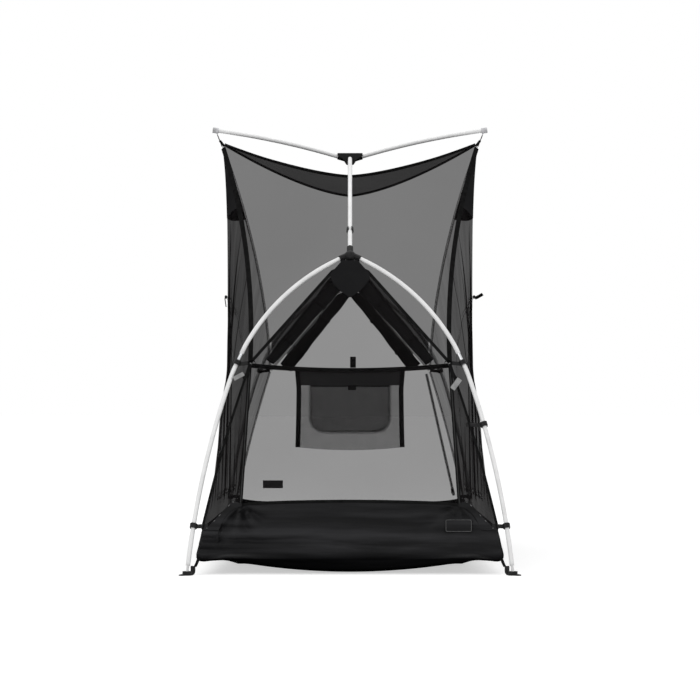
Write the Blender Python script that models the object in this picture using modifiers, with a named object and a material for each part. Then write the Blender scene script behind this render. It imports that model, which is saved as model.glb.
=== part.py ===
# A one-person mesh tent: a mesh body with a tub floor, hung in a frame of poles, hubs and clips.
# The front is -Y, the left is -X and up is +Z. The origin is on the ground under the middle.

import math

import bmesh
import bpy
from mathutils import Matrix, Vector

for old in list(bpy.data.objects):
    bpy.data.objects.remove(old, do_unlink=True)

FRONT = -1
REAR = 1
LEFT = -1
RIGHT = 1
END_NAMES = {FRONT: "front", REAR: "rear"}
SIDE_NAMES = {LEFT: "left", RIGHT: "right"}

# The frame as it stands
FOOT_HALF_WIDTH = 0.390
FOOT_HALF_LENGTH = 1.025
HUB_HEIGHT = 0.782
HUB_HALF_LENGTH = 0.720
WING_TIP_HALF_WIDTH = 0.380
WING_BEND = math.radians(10)
ARCH_TOP_HEADING = math.radians(23)
ARCH_SHOULDER_HEADING = math.radians(72)
ARCH_FOOT_HEADING = math.radians(85)

# Poles
POLE_RADIUS = 0.0055
POLE_END_IN_HUB = 0.010
RIDGE_END_IN_HUB = 0.013
RIDGE_END_IN_CROWN = 0.010
WING_END_IN_CROWN = 0.014
UPPER_POLE_LENGTH = 0.365
FERRULE_RADIUS = 0.0042
FERRULE_SHOWN = 0.020
FERRULE_SEATED = 0.016
FERRULE_STRAIGHT_PAST = 0.004
TIP_RADIUS = 0.0032
TIP_LENGTH = 0.016
TIP_STEP = 0.0005

# Moulded fittings
FIT_GAP = 0.0003
CLIP_PLAY = 0.0008
SOCKET_WALL = 0.0025
SOCKET_ROOT = 0.004
CUTTER_OVERRUN = 0.005
HUB_BALL_RADIUS = 0.0145
ARCH_SOCKET_REACH = 0.028
RIDGE_SOCKET_REACH = 0.033
HUB_HOOK_WIDTH = 0.010
HUB_HOOK_THICKNESS = 0.003
HUB_HOOK_ABOVE_APEX = 0.0038
CROWN_WIDTH = 0.070
CROWN_RISE = 0.0195
CROWN_DROP = 0.014
CROWN_LIP = 0.007
CROWN_WAIST = 0.002
CROWN_THICKNESS = 0.020
CROWN_ABOVE_ROOF = 0.049
CROWN_HOOK_WIDTH = 0.012
CROWN_HOOK_THICKNESS = 0.003
CROWN_HOOK_EYE_LENGTH = 0.014
CROWN_HOOK_EYE_WIDTH = 0.006
CROWN_SOCKET_REACH = 0.024
CLIP_LENGTH = 0.012
CLIP_SLOT = 0.007
CLIP_SIDES = 12
TAB_WIDTH = 0.010
TAB_THICKNESS = 0.002
TAB_ROOT = 0.0008
CAP_LENGTH = 0.016
CAP_END_WALL = 0.003
TIE_RADIUS = 0.0014

# Foot clips
FOOT_BASE_THICKNESS = 0.004
FOOT_CUP_RADIUS = 0.0115
FOOT_CUP_BORE = 0.0068
FOOT_CUP_HEIGHT = 0.010
FOOT_CLIP_WIDTH = 0.012
FOOT_TONGUE_REACH = 0.022
FOOT_TONGUE_END = 0.0025
FOOT_HOOK_REACH = 0.021
FOOT_HOOK_HEIGHT = 0.022
FOOT_HOOK_THICKNESS = 0.005
FOOT_HOOK_BEND = 0.010
FOOT_BEND_STEPS = 4

# Fabric
FABRIC = 0.001
SEAM = 0.0007
SIDE_INSET = 0.002
CORNER_HALF_WIDTH = 0.357
CORNER_ABOVE_ROOF_EDGE = 0.120
CORNER_CUT = 0.010
CORNER_TIE_RISE = 0.037
ROOF_EDGE_HEIGHT = 1.016
ROOF_EDGE_OUT = 0.330
ROOF_LIFT = 0.024
ROOF_CORNER_GAP = 0.0041
PANEL_CORNER_GAP = 0.0034
EDGE_BOW = 0.027
KNOT_FROM_POLE = 0.0335
KNOT_BELOW_HUB = 0.270
APEX_BELOW_HUB = 0.028
APEX_CUT = 0.004
CORNER_HEIGHT = ROOF_EDGE_HEIGHT + CORNER_ABOVE_ROOF_EDGE
WING_TIP_HEIGHT = CORNER_HEIGHT + CORNER_TIE_RISE
CROWN_HEIGHT = ROOF_EDGE_HEIGHT + ROOF_LIFT + CROWN_ABOVE_ROOF
APEX_HEIGHT = HUB_HEIGHT - APEX_BELOW_HUB
KNOT_HEIGHT = HUB_HEIGHT - KNOT_BELOW_HUB

# The tub: its corners are drawn out towards the feet, and its belly lies flat
TUB_WALL_HEIGHT = 0.109
TUB_FRONT_RISE = 0.066
TUB_FRONT_BOW = 0.012
TUB_FRONT_SHARE = 0.888
TUB_FRONT_SQUARENESS = 16
TUB_CORNER_FROM_FOOT = 0.026
TUB_TOP_INSET = 0.022
TUB_CORNER_HEIGHT = 0.040
TUB_BELLY_INSET_SIDE = 0.094
TUB_BELLY_INSET_END = 0.104
TUB_BULGE_HEIGHT = 0.050
TUB_BULGE_INSET_SIDE = 0.012
TUB_BULGE_INSET_END = 0.006
TUB_SHOULDER_HEIGHT = 0.082
TUB_SHOULDER_CORNER_HEIGHT = 0.074
TUB_SHOULDER_DRAWN = 0.50
TUB_SHOULDER_CORNER_DRAWN = 0.62
TUB_EDGE_HEIGHT = 0.014
TUB_EDGE_CORNER_HEIGHT = 0.026
TUB_EDGE_INSET_SIDE = 0.044
TUB_EDGE_INSET_END = 0.044
TUB_EDGE_CORNER_INSET = 0.036
TUB_FOLD_DEPTH = 0.0035
TUB_FOLD_PITCH = 0.273
TUB_CORNER_HALF_WIDTH = FOOT_HALF_WIDTH - TUB_CORNER_FROM_FOOT
TUB_CORNER_HALF_LENGTH = FOOT_HALF_LENGTH - TUB_CORNER_FROM_FOOT
TUB_TOP_HALF_WIDTH = TUB_CORNER_HALF_WIDTH - TUB_TOP_INSET
SIDE_HALF_WIDTH = TUB_TOP_HALF_WIDTH - SIDE_INSET
TUB_FLAT_HALF_WIDTH = TUB_CORNER_HALF_WIDTH - TUB_BELLY_INSET_SIDE
TUB_FLAT_HALF_LENGTH = TUB_CORNER_HALF_LENGTH - TUB_BELLY_INSET_END

# Side doors, zips and pull loops
DOOR_HALF_WIDTH = 0.450
DOOR_BASE = 0.165
DOOR_SHOULDER = 0.430
DOOR_TOP = 0.700
DOOR_GAP = 0.0015
DOOR_AXIS_OUT = 0.003
SLIDER_WIDTH = 0.009
SLIDER_THICKNESS = 0.004
SLIDER_HEIGHT = 0.011
PULL_LOOP_LENGTH = 0.024
PULL_LOOP_WIDTH = 0.007
PULL_CORD_RADIUS = 0.0011
PULL_RING_LENGTH = 0.011
PULL_RING_WIDTH = 0.009
REAR_SLIDER_ABOVE_TUB = 0.029
REAR_SLIDER_INSET = 0.012

# What hangs inside the ends
STRAP_WIDTH = 0.012
STRAP_THICKNESS = 0.0015
STRAP_SAG = 0.012
STRAP_BELOW_KNOTS = 0.006
STRAP_END_GAP = 0.003
ROLL_RADIUS = 0.0135
ROLL_INSET = 0.026
ROLL_END_GAP = 0.012
POCKET_WIDTH = 0.272
POCKET_DROP = 0.203
POCKET_BELOW_KNOTS = 0.013
POCKET_PANEL = 0.0015
POCKET_HEM_RISE = 0.008
POUCH_WIDTH = 0.196
POUCH_DEPTH = 0.012
POUCH_HEIGHT = 0.112
POUCH_BELOW_TOP = 0.036
POUCH_CORNER = 0.035

POCKET_TOP_HEIGHT = KNOT_HEIGHT - POCKET_BELOW_KNOTS

# Corner straps
CORNER_STRAP_WIDTH = 0.012
CORNER_STRAP_THICKNESS = 0.002
CORNER_STRAP_HOOK_GAP = 0.0016
CORNER_STRAP_BELOW_HOOK = 0.006
CORNER_STRAP_TUB_GAP = 0.0022

# Heights of the clips on the legs
LOW_CLIP_HEIGHT = 0.116
MID_CLIP_HEIGHT = 0.360
RIDGE_CLIP_FROM_HUB = 0.075

RIDGE_CLIP_HALF_LENGTH = HUB_HALF_LENGTH - RIDGE_CLIP_FROM_HUB

# Facets
TUBE_RESOLUTION = 3
TUBE_SIDES = 10
POLE_STEP = 0.032
TUB_COLUMNS = 18
TUB_ROWS = 26
TUB_RINGS = 4
WALL_COLUMNS = 12
WALL_ROWS = 12

parts = bpy.data.collections.new("Mesh_Tent")
cutters = bpy.data.collections.new("Cutters")
bpy.context.scene.collection.children.link(parts)
bpy.context.scene.collection.children.link(cutters)


def material(name, colour, roughness, metallic=0.0):
    made = bpy.data.materials.new(name)
    made.use_nodes = True
    shader = made.node_tree.nodes["Principled BSDF"]
    shader.inputs["Base Color"].default_value = (*colour, 1.0)
    shader.inputs["Roughness"].default_value = roughness
    shader.inputs["Metallic"].default_value = metallic
    return made


pole_white = material("pole_white", (0.86, 0.86, 0.86), 0.35)
ferrule_alloy = material("ferrule_alloy", (0.45, 0.46, 0.47), 0.30, 1.0)
moulded_black = material("moulded_black", (0.02, 0.02, 0.02), 0.45)
mesh_black = material("mesh_black", (0.03, 0.03, 0.03), 0.85)
tub_cloth = material("tub_cloth", (0.025, 0.025, 0.028), 0.60)
webbing_black = material("webbing_black", (0.015, 0.015, 0.015), 0.80)
zip_metal = material("zip_metal", (0.05, 0.05, 0.05), 0.40, 0.6)


def add(name, mesh, skin, collection=parts):
    made = bpy.data.objects.new(name, mesh)
    made.data.materials.append(skin)
    collection.objects.link(made)
    if collection is cutters:
        made.hide_render = True
        made.display_type = "WIRE"
    return made


def tube(name, points, radius, skin, collection=parts, swell=None):
    """A round bar with capped ends along a line of points, as one welded mesh."""
    curve = bpy.data.curves.new(name, "CURVE")
    curve.dimensions = "3D"
    curve.bevel_depth = radius
    curve.bevel_resolution = TUBE_RESOLUTION
    curve.use_fill_caps = True
    line = curve.splines.new("POLY")
    line.points.add(len(points) - 1)
    for index, point in enumerate(points):
        line.points[index].co = (*point, 1.0)
        line.points[index].radius = swell[index] if swell else 1.0
    return as_mesh(name, curve, skin, collection)


def as_mesh(name, curve, skin, collection):
    """Turns a curve into a mesh object and welds its caps."""
    rough = bpy.data.objects.new(name + "_curve", curve)
    bpy.context.scene.collection.objects.link(rough)
    seen = bpy.context.evaluated_depsgraph_get()
    mesh = bpy.data.meshes.new_from_object(rough.evaluated_get(seen))
    bpy.data.objects.remove(rough, do_unlink=True)
    welded = bmesh.new()
    welded.from_mesh(mesh)
    bmesh.ops.remove_doubles(welded, verts=welded.verts, dist=0.00001)
    bmesh.ops.recalc_face_normals(welded, faces=welded.faces)
    welded.to_mesh(mesh)
    welded.free()
    mesh.name = name
    mesh.materials.clear()
    return add(name, mesh, skin, collection)


def plate(name, outline, thickness, place, skin, collection=parts):
    """A flat outline in its own XY plane, thickened both ways and set by a matrix."""
    curve = bpy.data.curves.new(name, "CURVE")
    curve.dimensions = "2D"
    curve.fill_mode = "BOTH"
    curve.extrude = thickness / 2
    line = curve.splines.new("POLY")
    line.points.add(len(outline) - 1)
    line.use_cyclic_u = True
    for index, (across, up) in enumerate(outline):
        line.points[index].co = (across, up, 0.0, 1.0)
    made = as_mesh(name, curve, skin, collection)
    made.data.transform(place)
    return made


def frame_at(origin, along, up):
    """A matrix with X along one direction, Y as near another as it can be, and Z square to both."""
    x = Vector(along).normalized()
    z = x.cross(Vector(up)).normalized()
    y = z.cross(x)
    turned = Matrix((x, y, z)).transposed().to_4x4()
    return Matrix.Translation(Vector(origin)) @ turned


def block(name, start, end, width, thickness, face, skin, collection=parts):
    """A flat strip from one point to another, its broad side towards the direction face."""
    start = Vector(start)
    end = Vector(end)
    along = end - start
    across = along.cross(Vector(face))
    place = frame_at((start + end) / 2, along, across)
    solid = bmesh.new()
    bmesh.ops.create_cube(solid, size=1.0)
    bmesh.ops.scale(solid, vec=(along.length, width, thickness), verts=solid.verts)
    bmesh.ops.transform(solid, matrix=place, verts=solid.verts)
    bmesh.ops.recalc_face_normals(solid, faces=solid.faces)
    mesh = bpy.data.meshes.new(name)
    solid.to_mesh(mesh)
    solid.free()
    return add(name, mesh, skin, collection)


def ball(name, centre, radius, skin, collection=parts, rounds=12):
    solid = bmesh.new()
    place = Matrix.Translation(Vector(centre))
    bmesh.ops.create_uvsphere(solid, u_segments=rounds, v_segments=rounds // 2 + 1, radius=radius,
                              matrix=place)
    mesh = bpy.data.meshes.new(name)
    solid.to_mesh(mesh)
    solid.free()
    return add(name, mesh, skin, collection)


def turn_about(piece, point):
    """Gives a moving piece its origin on its joint's axis, with its shape left where it is."""
    point = Vector(point)
    piece.data.transform(Matrix.Translation(-point))
    piece.location = point


def change(piece, tool, operation):
    step = piece.modifiers.new(operation.lower() + "_" + tool.name, "BOOLEAN")
    step.operation = operation
    step.solver = "EXACT"
    step.object = tool


def join(piece, *tools):
    for tool in tools:
        change(piece, tool, "UNION")


def cut(piece, *tools):
    for tool in tools:
        change(piece, tool, "DIFFERENCE")


def sheet(name, columns, rows, place, skin, collection=parts):
    """Thin cloth: a grid whose corners run from -1 to 1 each way, placed by a formula and thickened."""
    grid = bmesh.new()
    bmesh.ops.create_grid(grid, x_segments=columns, y_segments=rows, size=1.0)
    for corner in grid.verts:
        corner.co = place(corner.co.x, corner.co.y)
    bmesh.ops.triangulate(grid, faces=grid.faces)
    mesh = bpy.data.meshes.new(name)
    grid.to_mesh(mesh)
    grid.free()
    made = add(name, mesh, skin, collection)
    thick = made.modifiers.new("thickness", "SOLIDIFY")
    thick.thickness = FABRIC
    thick.offset = 0.0
    thick.use_even_offset = True
    return made


def blend(start, end, share):
    return start + (end - start) * share


def bore_radius(radius, play=FIT_GAP):
    """A faceted bore whose flats still clear a round bar by the play."""
    return (radius + play) / math.cos(math.pi / TUBE_SIDES)


# Each arch lies in a plane that leans in from the feet to the hub.
FOOT_TIP_HEIGHT = FOOT_BASE_THICKNESS + FIT_GAP + TIP_RADIUS
LEAN = (FOOT_HALF_LENGTH - HUB_HALF_LENGTH) / (HUB_HEIGHT - FOOT_TIP_HEIGHT)


def plane_out(height):
    """How far the plane of an arch is from the middle of the tent, at a height."""
    return FOOT_HALF_LENGTH - (height - FOOT_TIP_HEIGHT) * LEAN


def plane_normal(end):
    """Square to the plane of an arch, pointing into the tent."""
    return Vector((0, -end, -LEAN)).normalized()


def plane_up(end):
    """Up the plane of an arch."""
    return Vector((0, -end * LEAN, 1)).normalized()


def arch_radii():
    """The two bend radii that bring the pole from the hub to the foot with the stated headings."""
    top = ARCH_TOP_HEADING
    shoulder = ARCH_SHOULDER_HEADING
    foot = ARCH_FOOT_HEADING
    out_1 = math.sin(shoulder) - math.sin(top)
    out_2 = math.sin(foot) - math.sin(shoulder)
    down_1 = math.cos(top) - math.cos(shoulder)
    down_2 = math.cos(shoulder) - math.cos(foot)
    out = FOOT_HALF_WIDTH - POLE_END_IN_HUB
    down = HUB_HEIGHT - FOOT_TIP_HEIGHT
    scale = out_1 * down_2 - out_2 * down_1
    return (out * down_2 - out_2 * down) / scale, (out_1 * down - out * down_1) / scale


SHOULDER_RADIUS, LEG_RADIUS = arch_radii()
SHOULDER_RUN = SHOULDER_RADIUS * (ARCH_SHOULDER_HEADING - ARCH_TOP_HEADING)
ARCH_RUN = SHOULDER_RUN + LEG_RADIUS * (ARCH_FOOT_HEADING - ARCH_SHOULDER_HEADING)


def arch_point(side, end, run):
    """A point on an arch, by the length of pole from its end in the hub."""
    first = ARCH_TOP_HEADING + min(run, SHOULDER_RUN) / SHOULDER_RADIUS
    across = POLE_END_IN_HUB + SHOULDER_RADIUS * (math.sin(first) - math.sin(ARCH_TOP_HEADING))
    height = HUB_HEIGHT - SHOULDER_RADIUS * (math.cos(ARCH_TOP_HEADING) - math.cos(first))
    if run > SHOULDER_RUN:
        last = first + (run - SHOULDER_RUN) / LEG_RADIUS
        across += LEG_RADIUS * (math.sin(last) - math.sin(first))
        height -= LEG_RADIUS * (math.cos(first) - math.cos(last))
    return Vector((side * across, end * plane_out(height), height))


def arch_line(side, end, start, stop):
    steps = max(2, round((stop - start) / POLE_STEP))
    return [arch_point(side, end, blend(start, stop, step / steps)) for step in range(steps + 1)]


def ridge_angles():
    """The ridge is one round bend through both hubs and over the crown."""
    rise = CROWN_HEIGHT - HUB_HEIGHT
    radius = (HUB_HALF_LENGTH**2 + rise**2) / (2 * rise)
    return radius, math.asin(HUB_HALF_LENGTH / radius)


RIDGE_RADIUS, RIDGE_HALF_ANGLE = ridge_angles()


def ridge_point(end, run):
    """A point on the ridge, by the length of pole from the hub's centre."""
    angle = RIDGE_HALF_ANGLE - run / RIDGE_RADIUS
    height = CROWN_HEIGHT - RIDGE_RADIUS * (1 - math.cos(angle))
    return Vector((0, end * RIDGE_RADIUS * math.sin(angle), height))


def ridge_line(end):
    start = RIDGE_END_IN_HUB
    stop = RIDGE_RADIUS * RIDGE_HALF_ANGLE - RIDGE_END_IN_CROWN
    steps = round((stop - start) / (2 * POLE_STEP))
    return [ridge_point(end, blend(start, stop, step / steps)) for step in range(steps + 1)]


def wing_line(side):
    """A wing bends evenly from the crown out to its tip."""
    span = Vector((WING_TIP_HALF_WIDTH, WING_TIP_HEIGHT - CROWN_HEIGHT))
    heading = math.atan2(span.y, span.x)
    radius = span.length / (2 * math.sin(WING_BEND / 2))
    first = heading + WING_BEND / 2
    start = WING_END_IN_CROWN / radius
    steps = 8
    line = []
    for step in range(steps + 1):
        turned = blend(start, WING_BEND, step / steps)
        across = radius * (math.sin(first) - math.sin(first - turned))
        up = radius * (math.cos(first - turned) - math.cos(first))
        line.append(Vector((side * across, 0, CROWN_HEIGHT + up)))
    return line


def ahead(line, reach):
    """A point at a reach along the first stretch of a line, from its first point."""
    return line[0] + (line[1] - line[0]).normalized() * reach


JOINT_START = UPPER_POLE_LENGTH - FERRULE_SEATED - FERRULE_STRAIGHT_PAST
JOINT_STOP = UPPER_POLE_LENGTH + FERRULE_SHOWN + FERRULE_SEATED + FERRULE_STRAIGHT_PAST


def ferrule_ends(side, end):
    """The two pole ends at a ferrule, on the straight stretch that both poles share with it."""
    first = arch_point(side, end, JOINT_START)
    last = arch_point(side, end, JOINT_STOP)
    along = (last - first).normalized()
    middle = (first + last) / 2
    top = middle - along * FERRULE_SHOWN / 2
    bottom = middle + along * FERRULE_SHOWN / 2
    return top, bottom, along


def shoulder_line(side, end):
    """The line of an upper pole, from its end in the hub down to the ferrule."""
    top = ferrule_ends(side, end)[0]
    return arch_line(side, end, 0, JOINT_START) + [top]


def leg_line(side, end):
    """The line of a lower pole, from the ferrule down to where its tip starts."""
    bottom = ferrule_ends(side, end)[1]
    return [bottom] + arch_line(side, end, JOINT_STOP, ARCH_RUN - TIP_LENGTH)


def arch_place(side, end, height):
    """The point on an arch at a height, and the direction down the pole there."""
    line = shoulder_line(side, end) + leg_line(side, end)
    above, below = next((a, b) for a, b in zip(line, line[1:]) if a.z >= height >= b.z)
    share = (above.z - height) / (above.z - below.z)
    return blend(above, below, share), (below - above).normalized()


def corner_name(kind, side, end):
    return f"{kind}_{END_NAMES[end]}_{SIDE_NAMES[side]}"


def pole_tip(start, tip):
    """The thin round-ended pin below the end of a lower pole: its points, and its radius at each."""
    along = (tip - start).normalized()
    turns = [math.radians(turn) for turn in (0, 30, 60, 85)]
    points = [start + along * TIP_STEP] + [tip + along * TIP_RADIUS * math.sin(turn) for turn in turns]
    share = TIP_RADIUS / POLE_RADIUS
    return points, [share] + [share * math.cos(turn) for turn in turns]


def arch_poles(side, end):
    """The upper and lower pole of one leg, and the ferrule that joins them."""
    top, bottom, along = ferrule_ends(side, end)
    seat = FERRULE_SEATED
    depth = seat + FIT_GAP
    bore = bore_radius(FERRULE_RADIUS)

    upper = tube(corner_name("upper_pole", side, end), shoulder_line(side, end), POLE_RADIUS, pole_white)
    upper_bore = tube(corner_name("upper_bore", side, end),
                      [top - along * depth, top + along * CUTTER_OVERRUN], bore, pole_white, cutters)
    cut(upper, upper_bore)

    line = leg_line(side, end)
    pin, swell = pole_tip(line[-1], arch_point(side, end, ARCH_RUN))
    lower = tube(corner_name("lower_pole", side, end), line + pin, POLE_RADIUS, pole_white,
                 swell=[1.0] * len(line) + swell)
    lower_bore = tube(corner_name("lower_bore", side, end),
                      [bottom - along * CUTTER_OVERRUN, bottom + along * depth], bore, pole_white, cutters)
    cut(lower, lower_bore)

    tube(corner_name("ferrule", side, end),
         [top - along * seat, bottom + along * seat], FERRULE_RADIUS, ferrule_alloy)


def socket(name, line, reach, piece):
    """A socket round the first stretch of a pole, joined to a fitting; the bore is cut later."""
    outer = tube(name + "_socket", [ahead(line, -SOCKET_ROOT), ahead(line, reach)],
                 POLE_RADIUS + SOCKET_WALL, moulded_black, cutters)
    join(piece, outer)


def bore(name, line, reach, piece):
    inner = tube(name + "_bore", [ahead(line, -FIT_GAP), ahead(line, reach + CUTTER_OVERRUN)],
                 bore_radius(POLE_RADIUS), moulded_black, cutters)
    cut(piece, inner)


def hub(end):
    """Takes both poles of an arch and one end of the ridge, with a hook below for the mesh apex."""
    name = END_NAMES[end] + "_hub"
    centre = Vector((0, end * HUB_HALF_LENGTH, HUB_HEIGHT))
    made = ball(name, centre, HUB_BALL_RADIUS, moulded_black)
    lines = [
        (arch_line(LEFT, end, 0, UPPER_POLE_LENGTH), ARCH_SOCKET_REACH - POLE_END_IN_HUB),
        (arch_line(RIGHT, end, 0, UPPER_POLE_LENGTH), ARCH_SOCKET_REACH - POLE_END_IN_HUB),
        (ridge_line(end), RIDGE_SOCKET_REACH - RIDGE_END_IN_HUB),
    ]
    for index, (line, reach) in enumerate(lines):
        socket(f"{name}_{index}", line, reach, made)
    apex = Vector((0, end * plane_out(APEX_HEIGHT), APEX_HEIGHT))
    hook_end = apex + plane_up(end) * HUB_HOOK_ABOVE_APEX
    hook_start = apex + plane_up(end) * (HUB_HEIGHT - APEX_HEIGHT)
    hook = block(name + "_hook", hook_start, hook_end, HUB_HOOK_WIDTH, HUB_HOOK_THICKNESS,
                 plane_normal(end), moulded_black, cutters)
    join(made, hook)
    for index, (line, reach) in enumerate(lines):
        bore(f"{name}_{index}", line, reach, made)


def crown():
    """A flat-topped bow tie that takes both ridge poles and both wings."""
    half = CROWN_WIDTH / 2
    outline = [
        (-half, CROWN_RISE), (-half, CROWN_RISE - CROWN_LIP), (-half * 0.55, CROWN_WAIST),
        (-half * 0.3, -CROWN_DROP * 0.8), (-half * 0.1, -CROWN_DROP), (half * 0.1, -CROWN_DROP),
        (half * 0.3, -CROWN_DROP * 0.8), (half * 0.55, CROWN_WAIST), (half, CROWN_RISE - CROWN_LIP),
        (half, CROWN_RISE),
    ]
    place = frame_at((0, 0, CROWN_HEIGHT), (1, 0, 0), (0, 0, 1))
    made = plate("crown_connector", outline, CROWN_THICKNESS, place, moulded_black)
    lines = [(wing_line(side), CROWN_WIDTH / 2 - WING_END_IN_CROWN) for side in (LEFT, RIGHT)]
    for end in (FRONT, REAR):
        lines.append((list(reversed(ridge_line(end))), CROWN_SOCKET_REACH - RIDGE_END_IN_CROWN))
    for index, (line, reach) in enumerate(lines):
        socket(f"crown_{index}", line, reach, made)
    for index, (line, reach) in enumerate(lines):
        bore(f"crown_{index}", line, reach, made)


# The seams of the mesh body
KNOT_HALF_WIDTH = arch_place(RIGHT, REAR, KNOT_HEIGHT)[0].x - KNOT_FROM_POLE


def knot(side, end):
    return Vector((side * KNOT_HALF_WIDTH, end * plane_out(KNOT_HEIGHT), KNOT_HEIGHT))


def roof_edge(across, end):
    """The sagging edge of the roof; across runs from -1 to 1, corner to corner."""
    rise = (CORNER_HEIGHT - ROOF_EDGE_HEIGHT) * abs(across) ** 2.2
    out = ROOF_EDGE_OUT * (1 - across**2)
    return Vector((across * CORNER_HALF_WIDTH, end * out, ROOF_EDGE_HEIGHT + rise))


def gable_edge(across, end):
    """The seam from the left knot over the apex to the right knot."""
    height = blend(APEX_HEIGHT, KNOT_HEIGHT, abs(across))
    return Vector((across * KNOT_HALF_WIDTH, end * plane_out(height), height))


def side_edge_width(height):
    """Half the width of the body at its end seams, at a height."""
    if height < KNOT_HEIGHT:
        share = (height - TUB_WALL_HEIGHT) / (KNOT_HEIGHT - TUB_WALL_HEIGHT)
        return blend(TUB_TOP_HALF_WIDTH, KNOT_HALF_WIDTH, share)
    share = (height - KNOT_HEIGHT) / (CORNER_HEIGHT - KNOT_HEIGHT)
    return blend(KNOT_HALF_WIDTH, CORNER_HALF_WIDTH, share) - 4 * EDGE_BOW * share * (1 - share)


def side_edge_out(height):
    """How far the end seams are from the middle of the tent, at a height."""
    if height < KNOT_HEIGHT:
        return plane_out(height)
    share = (height - KNOT_HEIGHT) / (CORNER_HEIGHT - KNOT_HEIGHT)
    return plane_out(KNOT_HEIGHT) * (1 - share)


def side_width(along, height):
    """Half the width of the body at a point of its side wall, which draws in towards the ends."""
    middle = SIDE_HALF_WIDTH + (CORNER_HALF_WIDTH - SIDE_HALF_WIDTH) * (height / CORNER_HEIGHT) ** 10
    share = along / side_edge_out(height)
    return middle - (middle - side_edge_width(height)) * share**2


def roof_panel():
    def place(u, w):
        across = u * (1 - ROOF_CORNER_GAP / CORNER_HALF_WIDTH)
        edge = roof_edge(across, REAR)
        lift = ROOF_LIFT * (1 - w**2) * (1 - across**2)
        return Vector((edge.x, w * (edge.y - SEAM), edge.z + lift))

    sheet("roof_panel", WALL_COLUMNS, 4, place, mesh_black)


def upper_panel(end):
    def place(u, w):
        share = (w + 1) / 2
        width = blend(KNOT_HALF_WIDTH, CORNER_HALF_WIDTH, share)
        across = u * (1 - SEAM / width - PANEL_CORNER_GAP / CORNER_HALF_WIDTH * share**6)
        low = gable_edge(across, end)
        high = roof_edge(across, end)
        inset = SEAM / (high - low).length
        share = blend(inset, 1 - inset, share)
        point = blend(low, high, share)
        point.x -= math.copysign(4 * EDGE_BOW * share * (1 - share) * across**2, across)
        return point

    sheet(f"upper_panel_{END_NAMES[end]}", WALL_COLUMNS, 8, place, mesh_black)


def wall_place(side):
    def place(u, w):
        low = TUB_WALL_HEIGHT + SEAM
        height = blend(low, CORNER_HEIGHT - CORNER_CUT, (w + 1) / 2)
        along = u * (side_edge_out(height) - SEAM)
        return Vector((side * side_width(along, height), along, height))

    return place


def door_outline(inset, sewn_inset):
    """The door's arch, drawn along and up: upright sides and a half ellipse on top."""
    front = DOOR_HALF_WIDTH - inset
    sewn = DOOR_HALF_WIDTH - sewn_inset
    base = DOOR_BASE + inset
    outline = [(-front, base), (sewn, base)]
    steps = 16
    for step in range(steps + 1):
        angle = math.pi * step / steps
        half = sewn if angle < math.pi / 2 else front
        rise = (DOOR_TOP - inset - DOOR_SHOULDER) * math.sin(angle)
        outline.append((half * math.cos(angle), DOOR_SHOULDER + rise))
    return outline


def door_axis(side):
    """Two points on the sewn edge that the door turns about, just outside the cloth."""
    low, high = (
        Vector((side * (side_width(DOOR_HALF_WIDTH, height) + DOOR_AXIS_OUT), DOOR_HALF_WIDTH, height))
        for height in (DOOR_BASE, DOOR_SHOULDER)
    )
    return low, high


def side_wall_and_door(side):
    name = SIDE_NAMES[side]
    place = frame_at((side * SIDE_HALF_WIDTH, 0, 0), (0, 1, 0), (0, 0, 1))
    wall = sheet("side_wall_" + name, WALL_COLUMNS, WALL_ROWS, wall_place(side), mesh_black)
    opening = plate("doorway_" + name, door_outline(0, 0), DOOR_HALF_WIDTH, place, mesh_black, cutters)
    cut(wall, opening)
    door = sheet("side_door_" + name, WALL_COLUMNS, WALL_ROWS, wall_place(side), mesh_black)
    outline = door_outline(DOOR_GAP, FIT_GAP)
    shape = plate("door_shape_" + name, outline, DOOR_HALF_WIDTH, place, mesh_black, cutters)
    change(door, shape, "INTERSECT")
    turn_about(door, door_axis(side)[0])


def zip_slider(side):
    """The slider of a side door's zip at the top of the arch, with its pull loop standing out."""
    name = "zip_slider_" + SIDE_NAMES[side]
    face = side_width(0, DOOR_TOP) + FABRIC / 2 + FIT_GAP
    low = DOOR_TOP + DOOR_GAP
    middle = low + SLIDER_HEIGHT / 2
    made = block(name, (side * face, 0, middle), (side * (face + SLIDER_THICKNESS), 0, middle),
                 SLIDER_WIDTH, SLIDER_HEIGHT, (0, 0, 1), zip_metal)
    start = face + SLIDER_THICKNESS / 2
    loop = []
    for step in range(9):
        angle = math.pi * step / 8
        reach = PULL_LOOP_LENGTH * math.sin(angle)
        loop.append((side * (start + reach), 0, middle - PULL_LOOP_WIDTH / 2 * math.cos(angle)))
    ring = tube(name + "_loop", loop, PULL_CORD_RADIUS, webbing_black, cutters)
    join(made, ring)
    turn_about(made, (side * face, 0, middle))


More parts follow.
